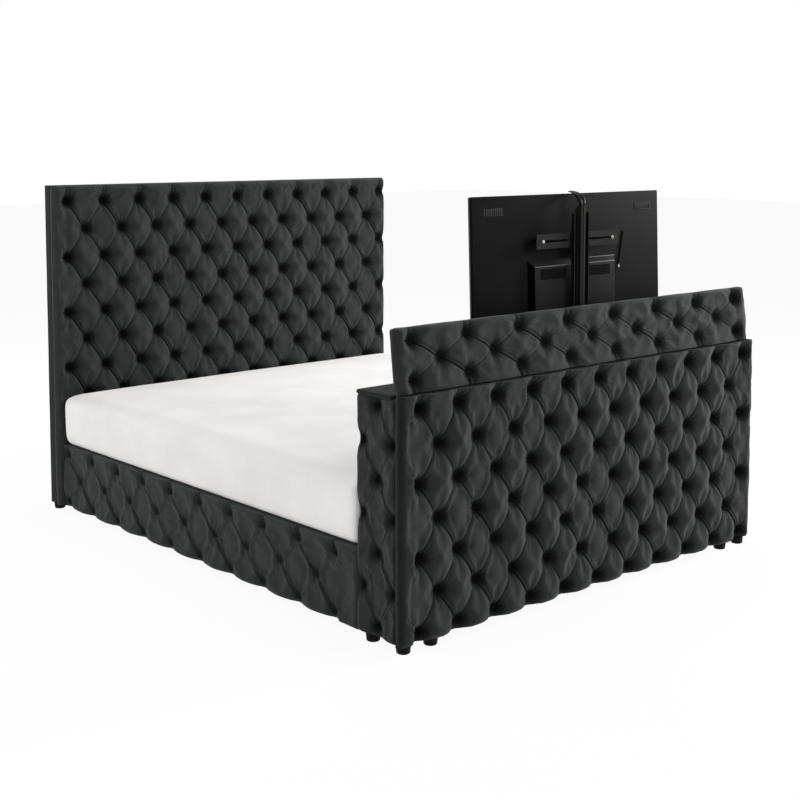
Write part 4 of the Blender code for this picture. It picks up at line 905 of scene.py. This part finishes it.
def makeTelevision(look):
    half, (rear, front), inset = look["half"], look["rear"], look["inset"]
    work = bmesh.new()
    loftedBlock(work, (-half, half, look["bottom"], look["top"], front),
                (inset - half, half - inset, look["bottom"] + inset, look["top"] - inset, rear),
                look["edge"] / 2)
    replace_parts(onTelevision("televisionBack", work, "tv_plastic"), "tv_rear_cover")

    # electronics housing with sloped top and sides, waist lines, pale strips of painted highlight along its upper
    # edges, and grilles
    inX, inZ = look["slope"]
    wide, low, top = look["coverHalf"], look["coverLow"], look["coverTop"]
    work = bmesh.new()
    for x0, x1 in ((-wide, -look["halfGap"]), (look["halfGap"], wide)):
        loftedBlock(work, (x0, x1, low, top, look["coverDepth"]),
                    (x0 + (inX if x0 == -wide else 0.004), x1 - (inX if x1 == wide else 0.004),
                     low + 0.004, top - inZ, look["coverFace"]), look["edge"])
        for waist in look["waists"]:
            roundedBox(work, (x0 + look["waistInset"], 0.0, low + waist),
                       (x1 - look["waistInset"], 0.003, low + waist + look["waistHeight"]), 0.0008)
    roundedBox(work, (-0.03, 0.010, low), (0.03, look["coverDepth"], top - 0.02), 0.002)
    housing = onTelevision("televisionHousing", work, "tv_plastic", housingFinish)
    # the faces that look to -x take the near-black finish: painted shade on the housing's left walls
    housing.data.materials.append(darkFinish)
    for face in housing.data.polygons:
        face.material_index = int(face.normal.x < -0.5)
    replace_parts(housing, "tv_electronics_cover")
    # pale strips along the housing's upper edges: painted highlight where the edges catch the light
    work = bmesh.new()
    for left, right, z in ((-wide + inX, -0.050, top - inZ), (0.050, wide - inX, top - inZ),
                           (0.050, wide - inX, top - 0.004)):
        roundedBox(work, (left, -0.0006, z - 0.0010), (right, 0.0030, z + 0.0010), 0.0004)
    onTelevision("housingPaintedHighlights", work, "tv_plastic", paintedHighlightFinish)
    # the grille's holes are near-black dots of painted shade
    work = bmesh.new()
    dot = grilleLook["half"]
    for _, sign in sides:
        for row in range(grilleLook["rows"]):
            for column in range(grilleLook["columns"]):
                x = sign * (grilleLook["first"] + grilleLook["pitch"] * column)
                z = top - inZ - grilleLook["below"] - grilleLook["pitch"] * row
                roundedBox(work, (x - dot, 0.0002, z - dot), (x + dot, 0.0012, z + dot), 0)
    onTelevision("housingGrilles", work, "black_plastic", darkFinish)

    # rows of vents near the upper corners, each between two thin lines
    work = bmesh.new()
    wide, high = ventLook["width"] / 2, ventLook["height"] / 2
    out, end = ventLook["frameOut"], ventLook["frameHalf"]
    for x, z in ventLook["spots"]:
        reach = ventLook["pitch"] * ventLook["blocks"] / 2
        for low, top in ((z + high, z + end), (z - end, z - high)):
            roundedBox(work, (x - reach - out, rear - 0.0008, low), (x + reach + out, rear + 0.001, top),
                       0.0004)
        for k in range(ventLook["blocks"]):
            middle = x + (k - (ventLook["blocks"] - 1) / 2) * ventLook["pitch"]
            roundedBox(work, (middle - wide, rear - ventLook["stand"], z - high),
                       (middle + wide, rear + 0.001, z + high), 0.0006)
    onTelevision("televisionVents", work, "tv_plastic", ventFinish)

    # the leaning strip with a pale tip beside the housing
    low, high = (Vector((x, rear - stripLook["stand"], z)) for x, z in (stripLook["low"], stripLook["high"]))
    work = bmesh.new()
    roundBar(work, low, stripLook["radius"], (high - low).length, high - low, 12)
    onTelevision("leaningStrip", work, "black_plastic")
    work = bmesh.new()
    roundBar(work, low - (high - low).normalized() * stripLook["tipOut"], stripLook["tipRadius"],
             stripLook["tip"], high - low, 12)
    onTelevision("leaningStripTip", work, "nylon")


mastLook = {"half": 0.043, "ribHalf": 0.0145, "front": -1.17375, "back": -1.15195, "wall": 0.004,
            "flangeFront": -1.1665, "arch": 1.1, "holeRadius": 0.0013, "holeStep": 0.016,
            "holeEnds": (0.03, 0.04), "beltHalf": 0.004, "beltThick": 0.0025, "beltEnds": (0.004, 0.035)}
noseLook = {"steps": 18, "across": 24, "least": 0.030, "swell": 0.016, "thick": 0.0075, "groove": 0.35,
            "grooveWidth": 0.20}
crossbarLook = {"screw": 0.200, "slot": (0.062, 0.192), "slotHalf": 0.0046, "upperSlot": 0.028,
                "washer": 0.0064, "head": 0.0048, "headRise": 0.0036, "headEnd": 0.0030}


def extruded(work, outline, low, high):
    # a closed outline of (x, y) points run up from low to high
    rings = [[work.verts.new((x, y, z)) for x, y in outline] for z in (low, high)]
    count = len(outline)
    for k in range(count):
        work.faces.new((rings[0][k], rings[0][(k + 1) % count], rings[1][(k + 1) % count], rings[1][k]))
    work.faces.new(rings[0][::-1])
    work.faces.new(rings[1])
    bmesh.ops.recalc_face_normals(work, faces=work.faces)


def makeMast(look):
    half, rib, wall = look["half"], look["ribHalf"], look["wall"]
    front, back, flange = look["front"], look["back"], look["flangeFront"]
    floorY = back - 0.003
    oneSide = [(0, back), (half, back), (half, flange), (half - 0.001, flange - 0.001),
               (half - wall, flange - 0.001), (half - wall, floorY), (rib + 0.004, floorY),
               (rib + 0.004, floorY - 0.004), (rib, floorY - 0.006), (rib, front + 0.005),
               (rib - 0.0015, front + 0.0015), (rib - 0.005, front), (0.0035, front), (0.002, front + 0.002)]
    outline = oneSide + [(-x, y) for x, y in oneSide[::-1] if x > 0]
    low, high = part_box("lift_mast")
    work = bmesh.new()
    extruded(work, outline, low.z, high.z)
    # its flanges slope up to the nose
    for vert in work.verts:
        if vert.co.z > high.z - 0.001 and abs(vert.co.x) > rib:
            vert.co.z -= look["arch"] * (abs(vert.co.x) - rib)
    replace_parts(addPiece("mastProfile", finished("mastProfile", work), "tv_carriage", "black_steel", 30),
                "lift_mast")

    # rows of pressed holes along the flanges, drawn as near-black pegs of painted shade, and a toothed belt in
    # each channel
    work = bmesh.new()
    for _, sign in sides:
        z = low.z + look["holeEnds"][0]
        while z < high.z - look["holeEnds"][1]:
            roundBar(work, (sign * (half - wall / 2), flange - 0.0008, z), look["holeRadius"], 0.003,
                     (0, 1, 0), 8)
            z += look["holeStep"]
        x = sign * (rib + (half - wall - rib) * 0.55)
        roundedBox(work, (x - look["beltHalf"], floorY - look["beltThick"], low.z + look["beltEnds"][0]),
                   (x + look["beltHalf"], floorY, high.z - look["beltEnds"][1]), 0.0006)
    fitting("mastBelts", work, "black_plastic", darkFinish)


def makeNose(look):
    # a ribbed half-round strip that curves back over the television
    low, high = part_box("lid_guide")
    reach, rise = high.y - low.y, high.z - low.z
    outline = []
    for k in range(look["across"] + 1):
        across = k / look["across"] * 2 - 1
        swell = math.sqrt(max(0, 1 - across ** 4))
        groove = look["groove"] * math.exp(-(across / look["grooveWidth"]) ** 2)
        outline.append((across, swell * (1 - groove)))
    work = bmesh.new()
    rings = []
    for step in range(look["steps"] + 1):
        share = step / look["steps"]
        angle = share * math.pi / 2
        centre = Vector((0, high.y - reach * math.cos(angle), low.z + rise * math.sin(angle)))
        normal = Vector((0, -math.cos(angle) * rise, math.sin(angle) * reach)).normalized()
        fullness = math.sin(math.pi * min(share * 1.1, 1)) ** 0.8
        width = 0.5 * (look["least"] + look["swell"] * fullness)
        thick = look["thick"] * (1 - 0.5 * share)
        ring = [work.verts.new(centre - normal * thick + Vector((x * width, 0, 0)) + normal * h * thick)
                for x, h in outline]
        ring += [work.verts.new(centre - normal * (thick + 0.001) + Vector((x * width, 0, 0)))
                 for x in (0.9, 0.0, -0.9)]
        rings.append(ring)
    for first, second in zip(rings, rings[1:]):
        for k in range(len(first)):
            n = (k + 1) % len(first)
            work.faces.new((first[k], first[n], second[n], second[k]))
    work.faces.new(rings[0][::-1])
    work.faces.new(rings[-1])
    bmesh.ops.recalc_face_normals(work, faces=work.faces)
    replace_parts(addPiece("mastNose", finished("mastNose", work), "tv_carriage", "black_gloss", 50),
                "lid_guide")


def makeCrossbarFittings(look):
    # brass screws with washers through both crossbars, and near-black strips in the slots as painted shadow
    heads, washers, slotShadows = bmesh.new(), bmesh.new(), bmesh.new()
    for name in ("crossbar_upper", "crossbar_lower"):
        low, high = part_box(name)
        z = (low.z + high.z) / 2 if name.endswith("lower") else low.z + look["upperSlot"]
        for _, sign in sides:
            roundBar(washers, (sign * look["screw"], low.y, z), look["washer"], 0.0012, (0, -1, 0), 24)
            roundBar(heads, (sign * look["screw"], low.y - 0.001, z), look["head"], look["headRise"],
                     (0, -1, 0), 24, look["headEnd"])
            left, right = sorted(sign * end for end in look["slot"])
            roundedBox(slotShadows, (left, low.y - 0.0004, z - look["slotHalf"]),
                       (right, low.y + 0.0012, z + look["slotHalf"]), 0.0003)
    fitting("crossbarSlotShadows", slotShadows, "black_plastic", darkFinish)
    fitting("crossbarScrews", heads, "zinc_steel", brass)
    fitting("crossbarWashers", washers, "zinc_steel")


makeTelevision(tvLook)
makeMast(mastLook)
makeNose(noseLook)
makeCrossbarFittings(crossbarLook)
print("television and lift made")


# Small fittings: straps under the slats, bolts in the brackets, screws in the hinge
fittingLook = {"straps": (0.25, 0.70), "strapHalf": 0.015, "strapThick": 0.0016, "boltRadius": 0.0065,
               "boltRise": 0.0045, "boltInset": 0.03, "boltAside": 0.008, "washer": 0.0012, "leaf": 0.0042,
               "screwStep": 0.098, "screwRadius": 0.0032, "screwEnds": (0.05, 0.02)}


def makeFittings(look):
    work = bmesh.new()
    for side, sign in sides:
        low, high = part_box("slat_roll_" + side)
        for x in look["straps"]:
            roundedBox(work, (sign * x - look["strapHalf"], low.y - 0.004,
                              low.z - look["strapThick"] - 0.0002),
                       (sign * x + look["strapHalf"], high.y + 0.004, low.z - 0.0002), 0.0006)
    fitting("slatStraps", work, "ticking", webbing, "bed_frame")

    # hexagon bolts with washers through both legs of each bracket
    work = bmesh.new()
    for side, sign in sides:
        for end, inward in (("foot", 1), ("head", -1)):
            low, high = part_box(f"rail_bracket_{side}_{end}")
            middle = (low + high) / 2
            railFace = (low.x if sign < 0 else high.x) - sign * look["leaf"]
            endFace = (low.y if inward > 0 else high.y) + inward * look["leaf"]
            for z in (low.z + look["boltInset"], high.z - look["boltInset"]):
                for place, way in (((railFace, middle.y + inward * look["boltAside"], z), (-sign, 0, 0)),
                                   ((middle.x - sign * look["boltAside"], endFace, z), (0, inward, 0))):
                    roundBar(work, place, look["boltRadius"] * 1.5, look["washer"], way, 24)
                    roundBar(work, place, look["boltRadius"], look["boltRise"] + look["washer"], way, 6,
                             look["boltRadius"] * 0.94)
    fitting("bracketBolts", work, "zinc_steel", body="bed_frame")

    # countersunk screws along the fixed leaf
    low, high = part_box("lid_hinge_fixed_leaf")
    work = bmesh.new()
    x = low.x + look["screwEnds"][0]
    while x < high.x - look["screwEnds"][1]:
        roundBar(work, (x, low.y + 0.0011, low.z + 0.010), look["screwRadius"], 0.0006, (0, 1, 0), 16,
                 look["screwRadius"] * 0.8)
        x += look["screwStep"]
    fitting("hingeScrews", work, "zinc_steel", brass, "bed_frame")


makeFittings(fittingLook)
print("fittings made")


# Stage, light and camera
stageLook = {"floor": (0.90, 0.90, 0.90, 1), "floorSize": 60, "floorWhite": 0.93, "white": (1, 1, 1, 1),
             "worldLight": 0.36}
cameraLook = {"place": (-3.9694, -4.6202, 1.7514), "turn": (85.12, 0, -41.34), "lens": 61.18,
              "shiftY": -0.18, "sensor": 36}


def whiteWhereSeen(finish, share, lit, white, output):
    # the camera and mirrors see white, the lamps' light falls on lit
    rays = [finish.add("LightPath", take=kind)
            for kind in ("Is Camera Ray", "Is Glossy Ray", "Is Transmission Ray")]
    mixed = finish.add("MixShader", values={0: sum(rays[1:], rays[0]) * share, 1: lit, 2: white})
    finish.add(output, values={"Surface": mixed})
    return finish.block


paleFloor = Finish("paleFloor")
direct = paleFloor.add("BsdfDiffuse", values={"Color": stageLook["floor"]}, take="BSDF")
glow = paleFloor.add("Emission", values={"Color": stageLook["white"], "Strength": 1.0})
bpy.ops.mesh.primitive_plane_add(size=stageLook["floorSize"], location=(0, 0, -0.0005))
floor = bpy.context.object
floor.name = "floor"
floor.data.materials.append(whiteWhereSeen(paleFloor, stageLook["floorWhite"], direct, glow,
                                           "OutputMaterial"))

studio = Finish("studio", bpy.data.worlds.new("studio"))
lit, white = (studio.add("Background", values={"Color": stageLook["white"], "Strength": strength})
              for strength in (stageLook["worldLight"], 1.0))
bpy.context.scene.world = whiteWhereSeen(studio, 1.0, lit, white, "OutputWorld")

lampLook = {
    "key": {"place": (5.8, -2.4, 3.0), "size": 1.6, "power": 310, "aim": (0, 0, 0.6)},
    "front": {"place": (3.4, -6.2, 3.2), "size": 2.4, "power": 205, "aim": (0, -0.6, 0.5)},
    "top": {"place": (1.2, 0.8, 5.0), "size": 3.5, "power": 108, "aim": (0, 0, 0)},
    "fill": {"place": (-5.6, 0.9, 2.4), "size": 2.5, "power": 118, "aim": (0, 0, 0.4)},
    "back": {"place": (-1.5, 6.2, 2.6), "size": 2.5, "power": 110, "aim": (0, 1.2, 0.8)},
}
for name, look in lampLook.items():
    lamp = bpy.data.lights.new(name, "AREA")
    way = Vector(look["aim"]) - Vector(look["place"])
    lamp.shape, lamp.size, lamp.energy = "DISK", look["size"], look["power"]
    holder = bpy.data.objects.new(name, lamp)
    holder.location = look["place"]
    holder.rotation_euler = way.to_track_quat("-Z", "Y").to_euler()
    bpy.context.scene.collection.objects.link(holder)

lens = bpy.data.cameras.new("camera")
lens.lens, lens.sensor_width, lens.shift_y = (cameraLook[key] for key in ("lens", "sensor", "shiftY"))
lens.clip_end = 100
camera = bpy.data.objects.new("camera", lens)
camera.location = cameraLook["place"]
camera.rotation_euler = [math.radians(angle) for angle in cameraLook["turn"]]
bpy.context.scene.collection.objects.link(camera)
bpy.context.scene.camera = camera
bpy.context.scene.view_settings.view_transform = "Standard"
print("stage ready")
